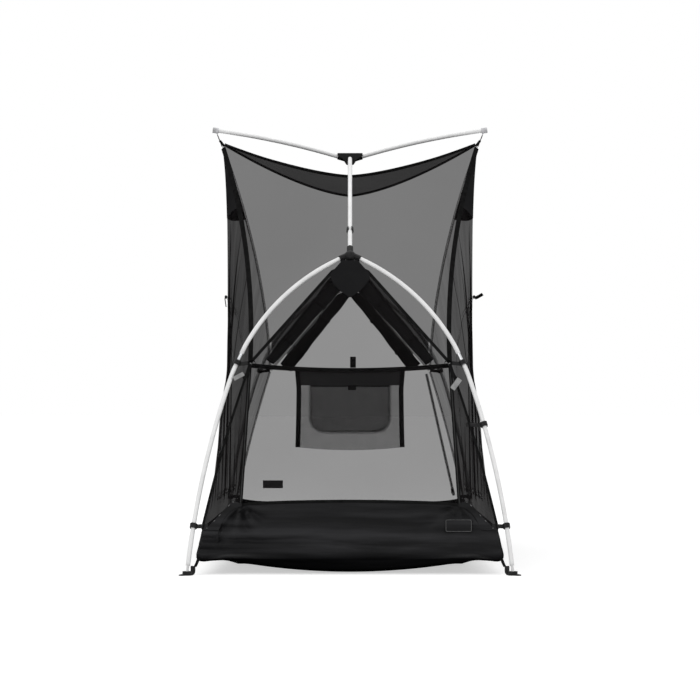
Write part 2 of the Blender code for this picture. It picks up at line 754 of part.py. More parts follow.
def rear_zip_slider():
    """The slider at the foot of the rear wall's right-hand zip, inside, with a ring hanging from it."""
    name = "zip_slider_rear"
    height = TUB_WALL_HEIGHT + REAR_SLIDER_ABOVE_TUB
    seam = (knot(RIGHT, REAR) - Vector((TUB_TOP_HALF_WIDTH, plane_out(TUB_WALL_HEIGHT), TUB_WALL_HEIGHT))).normalized()
    face = plane_normal(REAR)
    inward = seam.cross(face)
    inward *= -math.copysign(1, inward.x)
    place = Vector((side_edge_width(height), plane_out(height), height)) + inward * REAR_SLIDER_INSET
    near = place + face * (FABRIC / 2 + FIT_GAP)
    made = block(name, near, near + face * SLIDER_THICKNESS, SLIDER_WIDTH, SLIDER_HEIGHT, seam, zip_metal)
    middle = near + face * (SLIDER_THICKNESS / 2) - seam * (SLIDER_HEIGHT / 2 - PULL_CORD_RADIUS)
    ring = []
    for step in range(9):
        angle = math.pi * step / 8
        ring.append(middle - seam * PULL_RING_LENGTH * math.sin(angle) + inward * PULL_RING_WIDTH / 2 * math.cos(angle))
    ring[0] += seam * PULL_CORD_RADIUS
    ring[-1] += seam * PULL_CORD_RADIUS
    loop = tube(name + "_ring", ring, PULL_CORD_RADIUS, zip_metal, cutters)
    join(made, loop)
    turn_about(made, near)


def tub_top(end, share):
    """Height of the tub's top edge at an end, by the share of its half width: the front wall stands taller."""
    if end == REAR:
        return TUB_WALL_HEIGHT
    rise = TUB_FRONT_RISE - TUB_FRONT_BOW * share**2
    reach = min(1, abs(share) / TUB_FRONT_SHARE)
    return TUB_WALL_HEIGHT + rise * (1 - reach**TUB_FRONT_SQUARENESS)


def end_wall(end):
    """The mesh end: flat in the plane of its arch, from the tub to the apex."""
    low = TUB_WALL_HEIGHT + SEAM
    base = Vector((0, end * plane_out(low), low))
    slope = 1 / plane_up(end).z
    side_in = SEAM * 1.1
    rise = KNOT_HEIGHT - low
    top = APEX_HEIGHT - APEX_CUT - low
    cut_width = KNOT_HALF_WIDTH * APEX_CUT / (APEX_HEIGHT - KNOT_HEIGHT)
    half_low = TUB_TOP_HALF_WIDTH - side_in
    half_knot = KNOT_HALF_WIDTH - side_in
    half_top = cut_width - side_in
    outline = [
        (half_low, 0), (half_knot, rise * slope), (half_top, top * slope),
        (-half_top, top * slope), (-half_knot, rise * slope), (-half_low, 0),
    ]
    if end == FRONT:
        for column in range(1, TUB_COLUMNS):
            share = 2 * column / TUB_COLUMNS - 1
            outline.append((share * TUB_TOP_HALF_WIDTH, (tub_top(end, share) - TUB_WALL_HEIGHT) * slope))
    place = frame_at(base, (1, 0, 0), plane_up(end))
    plate(f"end_wall_{END_NAMES[end]}", outline, FABRIC, place, mesh_black)


def tub_floor():
    """The groundsheet: a flat belly, sides folded up, and corners drawn out towards the feet."""
    top_out = plane_out(TUB_WALL_HEIGHT)
    columns, rows, wall_rings = TUB_COLUMNS, TUB_ROWS, TUB_RINGS
    half = FABRIC / 2

    def ring_size(ring, along):
        """Half width, half length and height of a ring, at a place along a side from -1 to 1."""
        corner = abs(along) ** 4
        if ring == 0:
            return TUB_TOP_HALF_WIDTH, top_out, TUB_WALL_HEIGHT
        if ring == 1:
            drawn = blend(TUB_SHOULDER_DRAWN, TUB_SHOULDER_CORNER_DRAWN, corner)
            width = blend(TUB_TOP_HALF_WIDTH, TUB_CORNER_HALF_WIDTH, drawn)
            out = blend(top_out, TUB_CORNER_HALF_LENGTH, drawn)
            return width, out, blend(TUB_SHOULDER_HEIGHT, TUB_SHOULDER_CORNER_HEIGHT, corner)
        if ring == 2:
            width = TUB_CORNER_HALF_WIDTH - TUB_BULGE_INSET_SIDE * (1 - corner)
            out = TUB_CORNER_HALF_LENGTH - TUB_BULGE_INSET_END * (1 - corner)
            return width, out, blend(TUB_BULGE_HEIGHT, TUB_CORNER_HEIGHT, corner)
        if ring == 3:
            width = TUB_CORNER_HALF_WIDTH - blend(TUB_EDGE_INSET_SIDE, TUB_EDGE_CORNER_INSET, corner)
            out = TUB_CORNER_HALF_LENGTH - blend(TUB_EDGE_INSET_END, TUB_EDGE_CORNER_INSET, corner)
            return width, out, blend(TUB_EDGE_HEIGHT, TUB_EDGE_CORNER_HEIGHT, corner)
        return TUB_FLAT_HALF_WIDTH, TUB_FLAT_HALF_LENGTH, half

    def fold(ring, place):
        """Soft folds that run along the sides, deepest half way up."""
        depth = TUB_FOLD_DEPTH * (0.0, 1.0, 0.7, 0.0, 0.0)[ring]
        return depth * math.sin(math.tau * place / TUB_FOLD_PITCH + 1.9 * ring)

    def place(u, w):
        column = round((u + 1) / 2 * columns)
        row = round((w + 1) / 2 * rows)
        ring = min(column, columns - column, row, rows - row, wall_rings)
        across = (2 * column - columns) / (columns - 2 * ring)
        along = (2 * row - rows) / (rows - 2 * ring)
        inside = abs(across) < 1 and abs(along) < 1
        if inside:
            return Vector((across * TUB_FLAT_HALF_WIDTH, along * TUB_FLAT_HALF_LENGTH, half))
        spot = across if abs(along) >= 1 else along
        width, out, height = ring_size(ring, spot)
        if ring == 0 and abs(along) >= 1:
            end = FRONT if along < 0 else REAR
            height = tub_top(end, across)
            out = plane_out(height)
        x = across * width
        y = along * out
        if abs(spot) < 1:
            if abs(along) >= 1:
                y += along * fold(ring, x)
            else:
                x += across * fold(ring, y)
        return Vector((x, y, height))

    sheet("tub_floor", columns, rows, place, tub_cloth)


def flap_roll(side, end):
    """A door flap rolled up and tied along the inner edge of the gable."""
    low = knot(side, end)
    high = Vector((0, end * plane_out(APEX_HEIGHT), APEX_HEIGHT))
    along = (high - low).normalized()
    inward = along.cross(plane_normal(end))
    if inward.z > 0:
        inward = -inward
    lift = plane_normal(end) * (FABRIC / 2 + FIT_GAP + ROLL_RADIUS * 1.08)
    start = low + inward * ROLL_INSET + lift + along * (ROLL_INSET + ROLL_END_GAP)
    length = (high - low).length
    middle_gap = ROLL_RADIUS + ROLL_END_GAP
    slope = KNOT_HALF_WIDTH / (APEX_HEIGHT - KNOT_HEIGHT)
    stop = length - middle_gap * 2 - ROLL_INSET / slope
    reach = stop - ROLL_INSET - ROLL_END_GAP
    steps = 12
    points = [start + along * (reach * step / steps) for step in range(steps + 1)]
    swell = [1.0 - 0.16 * math.cos(math.pi * 4 * step / steps) ** 8 + 0.06 * step / steps
             for step in range(steps + 1)]
    tube(corner_name("flap_roll", side, end), points, ROLL_RADIUS, mesh_black, swell=swell)


def strap_height(across, up):
    """Height of the cross strap, which sags between the knots; up is the share from its middle line."""
    share = across / KNOT_HALF_WIDTH
    return KNOT_HEIGHT - STRAP_BELOW_KNOTS - STRAP_SAG * (1 - share**2) + up * STRAP_WIDTH


def cross_strap():
    """Webbing from knot to knot, against the inner face of the front end wall."""
    half = KNOT_HALF_WIDTH - STRAP_END_GAP
    steps = 12
    across = [blend(-half, half, step / steps) for step in range(steps + 1)]
    slope = 1 / plane_up(FRONT).z
    low = [(x, strap_height(x, -0.5) * slope) for x in across]
    high = [(x, strap_height(x, 0.5) * slope) for x in reversed(across)]
    lift = FABRIC / 2 + FIT_GAP + STRAP_THICKNESS / 2
    base = Vector((0, FRONT * plane_out(0), 0)) + plane_normal(FRONT) * lift
    place = frame_at(base, (1, 0, 0), plane_up(FRONT))
    plate("cross_strap", low + high, STRAP_THICKNESS, place, webbing_black)


def pocket_out():
    """Where the outer face of the pocket hangs: just inside the cross strap."""
    lift = (FABRIC / 2 + FIT_GAP + STRAP_THICKNESS + FIT_GAP) / plane_normal(FRONT).y
    return FRONT * plane_out(POCKET_TOP_HEIGHT) + lift


def gear_pocket():
    """A mesh panel with a pouch on its inner face, open at the top."""
    half = POCKET_WIDTH / 2
    steps = 10
    outline = [(half, 0), (-half, 0)]
    for step in range(steps + 1):
        x = blend(-half, half, step / steps)
        outline.append((x, -POCKET_DROP + POCKET_HEM_RISE * (x / half) ** 2))
    out = pocket_out() + POCKET_PANEL / 2
    place = frame_at((0, out, POCKET_TOP_HEIGHT), (1, 0, 0), (0, 0, 1))
    made = plate("gear_pocket", outline, POCKET_PANEL, place, mesh_black)

    def pouch_outline(inset, above):
        wide = POUCH_WIDTH / 2 - inset
        top = -POUCH_BELOW_TOP + above
        bottom = -POUCH_BELOW_TOP - POUCH_HEIGHT + inset
        shape = [(wide, top), (-wide, top)]
        for turn in range(5):
            angle = math.pi + math.pi / 2 * turn / 4
            shape.append((-wide + POUCH_CORNER * (1 + math.cos(angle)),
                          bottom + POUCH_CORNER * (1 + math.sin(angle))))
        for turn in range(5):
            angle = 1.5 * math.pi + math.pi / 2 * turn / 4
            shape.append((wide - POUCH_CORNER * (1 - math.cos(angle)),
                          bottom + POUCH_CORNER * (1 + math.sin(angle))))
        return shape

    outer_middle = out + POCKET_PANEL / 4 + POUCH_DEPTH / 2
    outer_place = frame_at((0, outer_middle, POCKET_TOP_HEIGHT), (1, 0, 0), (0, 0, 1))
    outer = plate("pouch", pouch_outline(0, 0), POUCH_DEPTH, outer_place, mesh_black, cutters)
    hollow_depth = POUCH_DEPTH - POCKET_PANEL * 1.75
    hollow_middle = out + POCKET_PANEL / 2 + hollow_depth / 2
    hollow_place = frame_at((0, hollow_middle, POCKET_TOP_HEIGHT), (1, 0, 0), (0, 0, 1))
    hollow = plate("pouch_hollow", pouch_outline(POCKET_PANEL, 0.01), hollow_depth, hollow_place,
                   mesh_black, cutters)
    join(made, outer)
    cut(made, hollow)
    turn_about(made, (0, pocket_out(), POCKET_TOP_HEIGHT))


def clip_arc(radius):
    """One wall of a clip's open ring, drawn from one lip of its mouth round to the other."""
    lip = math.asin(CLIP_SLOT / 2 / radius)
    turns = [blend(lip, math.tau - lip, step / CLIP_SIDES) for step in range(CLIP_SIDES + 1)]
    return [(radius * math.cos(turn), radius * math.sin(turn)) for turn in turns]


def clip_ring(name, point, along, sideways):
    """A clip snapped round a pole, open on the side away from the mesh. Gives its bore as well."""
    inner = bore_radius(POLE_RADIUS, CLIP_PLAY)
    outline = clip_arc(inner + SOCKET_WALL) + list(reversed(clip_arc(inner)))
    place = frame_at(point, -sideways, along.cross(-sideways))
    return plate(name, outline, CLIP_LENGTH, place, moulded_black), inner


def leg_clip(kind, side, end, height):
    """A clip on a leg, with a tab in the plane of the arch that reaches the end seam of the mesh."""
    name = corner_name(kind, side, end)
    point, along = arch_place(side, end, height)
    width = side_edge_width(height - TAB_WIDTH / 2) + FABRIC / 2 + 2 * FIT_GAP
    reach = Vector((side * width, end * plane_out(height), height)) - point
    sideways = (reach - along * reach.dot(along)).normalized()
    made, inner = clip_ring(name, point, along, sideways)
    far = Vector((reach.dot(sideways), reach.dot(along)))
    across = Vector((-far.y, far.x)).normalized() * TAB_WIDTH / 2
    root = inner + TAB_ROOT
    outline = [(root, -TAB_WIDTH / 2), tuple(far - across), tuple(far + across), (root, TAB_WIDTH / 2)]
    tab = plate(name + "_tab", outline, TAB_THICKNESS, frame_at(point, sideways, along), moulded_black,
                cutters)
    join(made, tab)


def ridge_clip(end):
    """Hangs the upper panel from the ridge pole."""
    name = f"ridge_clip_{END_NAMES[end]}"
    point = ridge_point(end, RIDGE_RADIUS * (RIDGE_HALF_ANGLE - math.asin(RIDGE_CLIP_HALF_LENGTH / RIDGE_RADIUS)))
    along = Vector((0, math.sqrt(RIDGE_RADIUS**2 - point.y**2), -end * abs(point.y))).normalized()
    low = gable_edge(0, end)
    high = roof_edge(0, end)
    share = (abs(low.y) - abs(point.y)) / (abs(low.y) - abs(high.y))
    target = blend(low, high, share) + Vector((0, 0, FABRIC + FIT_GAP))
    reach = target - point
    sideways = (reach - along * reach.dot(along)).normalized()
    made, inner = clip_ring(name, point, along, sideways)
    tab = block(name + "_tab", point + sideways * (inner + TAB_ROOT), target, TAB_WIDTH, TAB_THICKNESS,
                (0, 1, 0), moulded_black, cutters)
    join(made, tab)


def crown_hook():
    """Holds the middle of the roof up under the crown."""
    low = ROOF_EDGE_HEIGHT + ROOF_LIFT + FABRIC / 2 + FIT_GAP
    high = CROWN_HEIGHT - CROWN_DROP - FIT_GAP
    made = block("crown_hook", (0, 0, low), (0, 0, high), CROWN_HOOK_WIDTH, CROWN_HOOK_THICKNESS,
                 (0, 1, 0), moulded_black)
    middle = (low + high) / 2
    half_eye = CROWN_HOOK_EYE_LENGTH / 2
    hole = block("crown_hook_eye", (0, 0, middle - half_eye), (0, 0, middle + half_eye),
                 CROWN_HOOK_EYE_WIDTH, CROWN_HOOK_THICKNESS * 3, (0, 1, 0), moulded_black, cutters)
    cut(made, hole)


def corner_tie(side):
    """A cap on the tip of a wing, with a cord down to the corner of the mesh."""
    name = "corner_tie_" + SIDE_NAMES[side]
    line = list(reversed(wing_line(side)))
    inner = ahead(line, CAP_LENGTH - CAP_END_WALL)
    outer = ahead(line, -CAP_END_WALL)
    made = tube(name, [inner, outer], POLE_RADIUS + SOCKET_WALL, moulded_black)
    below = ahead(line, CAP_LENGTH / 2) + Vector((0, 0, -POLE_RADIUS - SOCKET_WALL * 0.4))
    corner = Vector((side * CORNER_HALF_WIDTH, 0, CORNER_HEIGHT - CORNER_CUT))
    target = corner + Vector((0, 0, FIT_GAP + FABRIC / 2))
    cord = tube(name + "_cord", [below, blend(below, target, 0.5), target], TIE_RADIUS,
                webbing_black, cutters)
    join(made, cord)
    bore(name, line, CAP_LENGTH - CAP_END_WALL, made)


def foot_axis(side, end):
    return Vector((side * FOOT_HALF_WIDTH, end * FOOT_HALF_LENGTH, 0))


def tub_corner(side, end):
    return Vector((side * TUB_CORNER_HALF_WIDTH, end * TUB_CORNER_HALF_LENGTH, TUB_CORNER_HEIGHT))


def foot_clip(side, end):
    """A moulded clip under the pole tip: a cup, a tongue outwards and a hook towards the tub."""
    name = corner_name("foot_clip", side, end)
    axis = foot_axis(side, end)
    inward = tub_corner(side, end) - axis
    inward.z = 0
    inward.normalize()
    hook = FOOT_HOOK_REACH
    thick = FOOT_BASE_THICKNESS
    wall = FOOT_HOOK_THICKNESS
    bend = FOOT_HOOK_BEND
    turns = [math.pi / 2 * step / FOOT_BEND_STEPS for step in range(FOOT_BEND_STEPS + 1)]
    outside = [(hook - bend * (1 - math.sin(turn)), bend * (1 - math.cos(turn))) for turn in turns]
    inside = [(hook - bend + (bend - wall) * math.sin(turn), bend - (bend - thick) * math.cos(turn))
              for turn in reversed(turns)]
    tip = [(hook - wall / 2 + wall / 2 * math.cos(2 * turn), FOOT_HOOK_HEIGHT - wall / 2 * (1 - math.sin(2 * turn)))
           for turn in turns]
    outline = [(-FOOT_TONGUE_REACH, 0)] + outside + tip + inside
    outline += [(-FOOT_CUP_RADIUS, thick), (-FOOT_TONGUE_REACH, FOOT_TONGUE_END)]
    made = plate(name, outline, FOOT_CLIP_WIDTH, frame_at(axis, inward, (0, 0, 1)), moulded_black)
    up = Vector((0, 0, 1))
    cup = tube(name + "_cup", [axis, axis + up * FOOT_CUP_HEIGHT], FOOT_CUP_RADIUS, moulded_black, cutters)
    hollow = tube(name + "_hollow", [axis + up * thick, axis + up * FOOT_CUP_HEIGHT * 2],
                  FOOT_CUP_BORE, moulded_black, cutters)
    join(made, cup)
    cut(made, hollow)
    turn_about(made, axis)


def corner_strap(side, end):
    """Webbing from the bottom corner of the tub to the hook of the foot clip."""
    axis = foot_axis(side, end)
    corner = tub_corner(side, end)
    inward = corner - axis
    inward.z = 0
    inward.normalize()
    start = axis + inward * (FOOT_HOOK_REACH + CORNER_STRAP_HOOK_GAP)
    start.z = FOOT_HOOK_HEIGHT - CORNER_STRAP_BELOW_HOOK
    stop = corner - inward * CORNER_STRAP_TUB_GAP
    block(corner_name("corner_strap", side, end), start, stop, CORNER_STRAP_WIDTH,
          CORNER_STRAP_THICKNESS, (0, 0, 1), webbing_black)


for end in (FRONT, REAR):
    hub(end)
    upper_panel(end)
    end_wall(end)
    ridge_clip(end)
    tube(f"ridge_pole_{END_NAMES[end]}", ridge_line(end), POLE_RADIUS, pole_white)
    for side in (LEFT, RIGHT):
        arch_poles(side, end)
        flap_roll(side, end)
        foot_clip(side, end)
        corner_strap(side, end)
        leg_clip("knot_clip", side, end, KNOT_HEIGHT)
        leg_clip("low_clip", side, end, LOW_CLIP_HEIGHT)

leg_clip("mid_clip", RIGHT, FRONT, MID_CLIP_HEIGHT)
crown()
crown_hook()
for side in (LEFT, RIGHT):
    tube(f"wing_pole_{SIDE_NAMES[side]}", wing_line(side), POLE_RADIUS, pole_white)
    corner_tie(side)
    side_wall_and_door(side)
    zip_slider(side)
rear_zip_slider()
roof_panel()
tub_floor()
cross_strap()
gear_pocket()
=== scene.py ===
# Looks for the one-person mesh tent: netting, cloth, webbing, zips, poles and fittings.
# The front is -Y, the left is -X and up is +Z, in metres.

import math

import bmesh
import bpy
import numpy as np
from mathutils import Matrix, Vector


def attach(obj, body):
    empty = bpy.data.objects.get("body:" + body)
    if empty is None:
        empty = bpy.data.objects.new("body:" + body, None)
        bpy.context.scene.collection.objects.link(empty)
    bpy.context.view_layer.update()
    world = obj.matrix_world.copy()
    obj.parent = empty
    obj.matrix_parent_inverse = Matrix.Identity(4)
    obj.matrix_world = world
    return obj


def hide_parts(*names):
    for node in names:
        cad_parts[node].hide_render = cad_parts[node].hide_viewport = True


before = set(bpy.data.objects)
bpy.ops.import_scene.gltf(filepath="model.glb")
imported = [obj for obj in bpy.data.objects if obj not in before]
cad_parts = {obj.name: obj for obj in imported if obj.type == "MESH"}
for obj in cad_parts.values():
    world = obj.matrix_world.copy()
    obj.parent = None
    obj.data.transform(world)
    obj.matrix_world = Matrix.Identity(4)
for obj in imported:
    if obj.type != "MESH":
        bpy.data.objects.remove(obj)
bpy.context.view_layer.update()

front, rear = -1, 1
left, right = -1, 1
endNames = {front: "front", rear: "rear"}
sideNames = {left: "left", right: "right"}

# the tent's own lines, which the solids have too
footX, footY, footZ = 0.390, 1.025, 0.0075
hubY, hubZ, crownZ = 0.720, 0.782, 1.089
headings, archStartX = [math.radians(turn) for turn in (23, 72, 85)], 0.010
wingX, wingZ, wingBend = 0.380, 1.173, math.radians(10)
poleRadius, tipRadius, jointFrom, jointTo = 0.0055, 0.0032, 0.345, 0.405
sideX, cornerX, cornerZ, bow = 0.340, 0.357, 1.136, 0.027
roofY, roofZ, roofLift = 0.330, 1.016, 0.024
knotX, knotZ, apexZ, gableTurn, gableRise = 0.246, 0.512, 0.754, 0.045, 1.143
tubTopX, tubTopZ, tubCornerX, tubCornerY = 0.342, 0.109, 0.368, 0.999
doorY, doorBase, doorShoulder, doorTop = 0.450, 0.165, 0.430, 0.700
seamX, seamBow, lowSpread = 0.356, 0.006, 0.016  # the low walls stand a little wider than the solids
lean = (footY - hubY) / (hubZ - footZ)


def smooth(start, stop, x):  # 0 before start, 1 after stop, with level ends
    t = np.clip((np.asarray(x, float) - start) / (stop - start), 0, 1)
    return t * t * (3 - 2 * t)


def unit(v):
    v = np.asarray(v, float)
    return v / np.maximum(np.linalg.norm(v, axis=-1, keepdims=True), 1e-12)


def mix(a, b, t):
    return a + (b - a) * t


def planeOut(z):  # how far the leaning plane of an arch is from the middle, at a height
    return footY - (z - footZ) * lean


def planeIn(end):  # square to that plane, into the tent
    return unit([0, -end, -lean])


def planeUp(end):
    return unit([0, -end * lean, 1])


def onPlane(x, z, end, lift=0.0):  # points of an end wall, lifted into the tent
    x, z = np.broadcast_arrays(np.asarray(x, float), np.asarray(z, float))
    flat = np.stack([x, end * planeOut(z), z], -1)
    return flat + planeIn(end) * np.asarray(lift, float)[..., None]


def archRadii():  # two bends that bring the pole from the hub to the foot with the three headings
    a, b, c = headings
    out1, out2 = math.sin(b) - math.sin(a), math.sin(c) - math.sin(b)
    down1, down2 = math.cos(a) - math.cos(b), math.cos(b) - math.cos(c)
    out, down = footX - archStartX, hubZ - footZ
    scale = out1 * down2 - out2 * down1
    return (out * down2 - out2 * down) / scale, (out1 * down - out * down1) / scale


shoulderRadius, legRadius = archRadii()
shoulderRun = shoulderRadius * (headings[1] - headings[0])
archRun = shoulderRun + legRadius * (headings[2] - headings[1])


def archPoint(side, end, run):  # points on an arch by the length of pole from the hub
    run = np.asarray(run, float)
    a = headings[0]
    first = a + np.minimum(run, shoulderRun) / shoulderRadius
    x = archStartX + shoulderRadius * (np.sin(first) - math.sin(a))
    z = hubZ - shoulderRadius * (math.cos(a) - np.cos(first))
    last = first + np.maximum(run - shoulderRun, 0) / legRadius
    x = x + legRadius * (np.sin(last) - np.sin(first))
    z = z - legRadius * (np.cos(first) - np.cos(last))
    return np.stack([side * x, end * planeOut(z), z], -1)


ridgeRise = crownZ - hubZ
ridgeRadius = (hubY ** 2 + ridgeRise**2) / (2 * ridgeRise)
ridgeHalf = math.asin(hubY / ridgeRadius)


def ridgePoint(end, run):
    angle = ridgeHalf - np.asarray(run, float) / ridgeRadius
    z = crownZ - ridgeRadius * (1 - np.cos(angle))
    return np.stack([0 * angle, end * ridgeRadius * np.sin(angle), z], -1)


wingRadius = math.hypot(wingX, wingZ - crownZ) / (2 * math.sin(wingBend / 2))


def wingPoint(side, share):
    first = math.atan2(wingZ - crownZ, wingX) + wingBend / 2
    turned = first - wingBend * share
    x = wingRadius * (math.sin(first) - np.sin(turned))
    return np.stack([side * x, 0 * x, crownZ + wingRadius * (np.cos(turned) - math.cos(first))], -1)


def knot(side, end):
    return np.array([side * knotX, end * planeOut(knotZ), knotZ])


def roofEdge(u, end):
    u = np.asarray(u, float)
    rise = np.abs(u) ** 1.5
    z = roofZ + (cornerZ - roofZ) * rise
    return np.stack([u * cornerX, end * roofY * (1 - rise), z], -1)


turnZ = knotZ + (knotX - gableTurn) * gableRise
gableCurve = (apexZ - turnZ) / gableTurn**2


def gableTop(x):  # height of a gable seam: straight from the knot, then a parabola over the apex
    x = np.abs(np.asarray(x, float))
    straight = knotZ + (knotX - x) * gableRise
    return np.where(x < gableTurn, apexZ - gableCurve * x**2, straight)


def gableHalf(z):  # the same line read the other way: its distance from the middle at a height
    straight = knotX - (z - knotZ) / gableRise
    return np.where(z > turnZ, np.sqrt(np.maximum(apexZ - z, 0) / gableCurve), straight)


def gableEdge(u, end):
    x = np.asarray(u, float) * knotX
    z = gableTop(x)
    return np.stack([x, end * planeOut(z), z], -1)


def edgeWidth(z, lowX=seamX, lowBow=seamBow):  # half the body's width at its end seams
    z = np.asarray(z, float)
    low = (z - tubTopZ) / (knotZ - tubTopZ)
    high = (z - knotZ) / (cornerZ - knotZ)
    up = mix(knotX, cornerX, high) - 4 * bow * high * (1 - high)
    return np.where(z < knotZ, mix(lowX, knotX, low) + lowBow * np.sin(math.pi * np.clip(low, 0, 1)), up)


def edgeOut(z):
    z = np.asarray(z, float)
    high = (z - knotZ) / (cornerZ - knotZ)
    return np.where(z < knotZ, planeOut(z), planeOut(knotZ) * (1 - high))


def sideWidth(y, z):
    # the middle's width less a power of y: the solids' own square, and a fuller low wall away from the sewn door edge
    middle = sideX + (cornerX - sideX) * (z / cornerZ) ** 10
    share = np.abs(y) / edgeOut(z)
    plain = middle - (middle - edgeWidth(z, tubTopX, 0.0)) * share**2
    spread = middle + lowSpread * np.clip(1 - z / 0.5, 0, 1)
    full = spread - (spread - edgeWidth(z)) * share ** (2 + 2 * smooth(0.512, 0.36, z))
    away = 1 - smooth(-0.10, 0.36, y) + smooth(0.54, 0.85, y)
    return mix(plain, full, away)


walls = {"pleatPitch": 0.055, "pleatDepth": 0.005, "waveDepth": 0.005, "wavePitch": 0.17}


def pleats(y, z):
    # folds that hang inwards: a fine wave along y whose depth drifts, on a slower wave, and none at seams and sewn edge
    fade = smooth(0.112, 0.18, z) * smooth(0.99, 0.88, z) * smooth(1.0, 0.86, np.abs(y) / edgeOut(z))
    fade = fade * (1 - np.exp(-(((y - doorY) / 0.04) ** 2)))
    fine = 0.5 - 0.5 * np.cos(math.tau * y / walls["pleatPitch"] + 0.9 * np.sin(7 * z) + 1.3 * np.sin(11 * y))
    drift = 0.6 + 0.4 * np.sin(3.7 * z + 5.1 * y + 0.6)
    slow = 0.5 - 0.5 * np.cos(math.tau * y / walls["wavePitch"] + 1.4 * z)
    return -fade * (walls["pleatDepth"] * fine * drift**2 + walls["waveDepth"] * slow)


def onSide(side, y, z, lift=0.0):  # points on a side wall
    y, z = np.broadcast_arrays(np.asarray(y, float), np.asarray(z, float))
    return np.stack([side * (sideWidth(y, z) + pleats(y, z) + lift), y, z], -1)


def dressed(name, points, faces, uvs, material, closed, body):
    mesh = bpy.data.meshes.new(name)
    mesh.from_pydata(np.asarray(points, float).reshape(-1, 3).tolist(), [], faces)
    layer = mesh.uv_layers.new(name="weave")
    layer.data.foreach_set("uv", np.concatenate(uvs).astype(np.float32).ravel())
    made = shown(bpy.data.objects.new(name, mesh))
    if closed:
        solid = bmesh.new()
        solid.from_mesh(mesh)
        bmesh.ops.recalc_face_normals(solid, faces=solid.faces)
        solid.to_mesh(mesh)
        solid.free()
    mesh.polygons.foreach_set("use_smooth", [True] * len(mesh.polygons))
    mesh.materials.append(material)
    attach(made, body)
    return made


def gridFaces(points, wrap, flip=False):
    # quads between neighbours of a grid, with texture places from the lengths along both of its directions
    ids = np.arange(points.shape[0] * points.shape[1]).reshape(points.shape[:2])
    ring = points
    if wrap:
        ids, ring = np.concatenate([ids, ids[:, :1]], 1), np.concatenate([points, points[:, :1]], 1)
    stepU = np.linalg.norm(np.diff(ring, axis=1), axis=2).mean(0)
    stepV = np.linalg.norm(np.diff(points, axis=0), axis=2).mean(1)
    uv = np.stack(np.meshgrid(*(np.concatenate([[0], np.cumsum(step)]) for step in (stepU, stepV))), -1)
    quads, uv = (np.stack([g[:-1, :-1], g[:-1, 1:], g[1:, 1:], g[1:, :-1]], 2) for g in (ids, uv))
    quads, uv = quads.reshape(-1, 4), uv.reshape(-1, 4, 2)
    return (quads[:, ::-1], uv[:, ::-1]) if flip else (quads, uv)


def cloth(name, points, material, flip=False, body="tent", slot="mesh_black"):
    # an open sheet: one layer of cloth on a grid of points
    quads, uv = gridFaces(points, False, flip)
    return dressed(name, points, quads.tolist(), [uv.reshape(-1, 2)], material, False, body)


def capped(name, points, shape, material, body, turned=False):
    # a closed tube on a grid of points, with a flat face of the given shape at both ends
    quads, uv = gridFaces(points, True)
    uv = uv[..., ::-1] if turned else uv
    rows, count = points.shape[:2]
    faces = quads.tolist() + [list(range(count)), [(rows - 1) * count + k for k in reversed(range(count))]]
    return dressed(name, points, faces, [uv.reshape(-1, 2), shape, shape[::-1]], material, True, body)


def carriedPoints(path, profile, ref, swell=None):
    # a profile carried along a path: path + side * a + up * b, where side is square to the path and to ref
    path = np.asarray(path, float)
    tangent = unit(np.gradient(path, axis=0))
    side = unit(np.cross(tangent, np.broadcast_to(np.asarray(ref, float), path.shape)))
    up = np.cross(side, tangent)
    size = np.ones(len(path)) if swell is None else np.asarray(swell, float)
    profile = np.asarray(profile, float)
    shape = profile if profile.ndim == 3 else np.broadcast_to(profile, (len(path), *profile.shape))
    a, b = shape[..., :1] * size[:, None, None], shape[..., 1:] * size[:, None, None]
    return path[:, None] + side[:, None] * a + up[:, None] * b


def carried(name, path, profile, ref, material, swell=None, body="tent"):
    return capped(name, carriedPoints(path, profile, ref, swell), np.asarray(profile, float), material, body)


def roundProfile(radius, sides=20):
    turn = np.arange(sides) * math.tau / sides
    return np.stack([radius * np.cos(turn), radius * np.sin(turn)], -1)


def flatProfile(width, thick, sides=12, power=0.45):
    # a rounded flat strip: a superellipse of cos and sin raised to a low power
    turn = (np.arange(sides) + 0.5) * math.tau / sides
    c, s = np.cos(turn), np.sin(turn)
    return np.stack([width / 2 * np.sign(c) * np.abs(c) ** power, thick / 2 * np.sign(s) * np.abs(s) ** power], -1)


def ribbon(name, centre, across, width, thick, material, body="tent", slot="webbing_black"):
    # a strip whose broad side holds the direction across, with rounded edges
    centre = np.asarray(centre, float)
    tangent = unit(np.gradient(centre, axis=0))
    across = np.broadcast_to(np.asarray(across, float), centre.shape)
    across = unit(across - tangent * (across * tangent).sum(-1, keepdims=True))
    shape = flatProfile(width, thick)
    points = centre[:, None] + across[:, None] * shape[:, :1] + np.cross(tangent, across)[:, None] * shape[:, 1:]
    return capped(name, points, shape, material, body, True)


def along(points, count):  # the same line with evenly spaced points
    points = np.asarray(points, float)
    run = np.concatenate([[0], np.cumsum(np.linalg.norm(np.diff(points, axis=0), axis=1))])
    want = np.linspace(0, run[-1], count)
    return np.stack([np.interp(want, run, points[:, k]) for k in range(3)], -1)


def grid(first, second):  # each direction's start, stop and count
    return np.meshgrid(np.linspace(*first), np.linspace(*second))


def fill(socket, value):  # with a number or a colour, or with what another node gives
    if isinstance(value, bpy.types.NodeSocket):
        value.id_data.links.new(value, socket)
    else:
        socket.default_value = value


def put(made, **values):  # a node's own settings and its inputs, by name
    for key, value in values.items():
        if hasattr(made, key):
            setattr(made, key, value)
        else:
            fill(made.inputs[key.replace("_", " ")], value)
    return made


def node(beside, kind, **values):  # a new node in the tree that a node, or a socket of one, is in
    return put(beside.id_data.nodes.new("ShaderNode" + kind), **values)


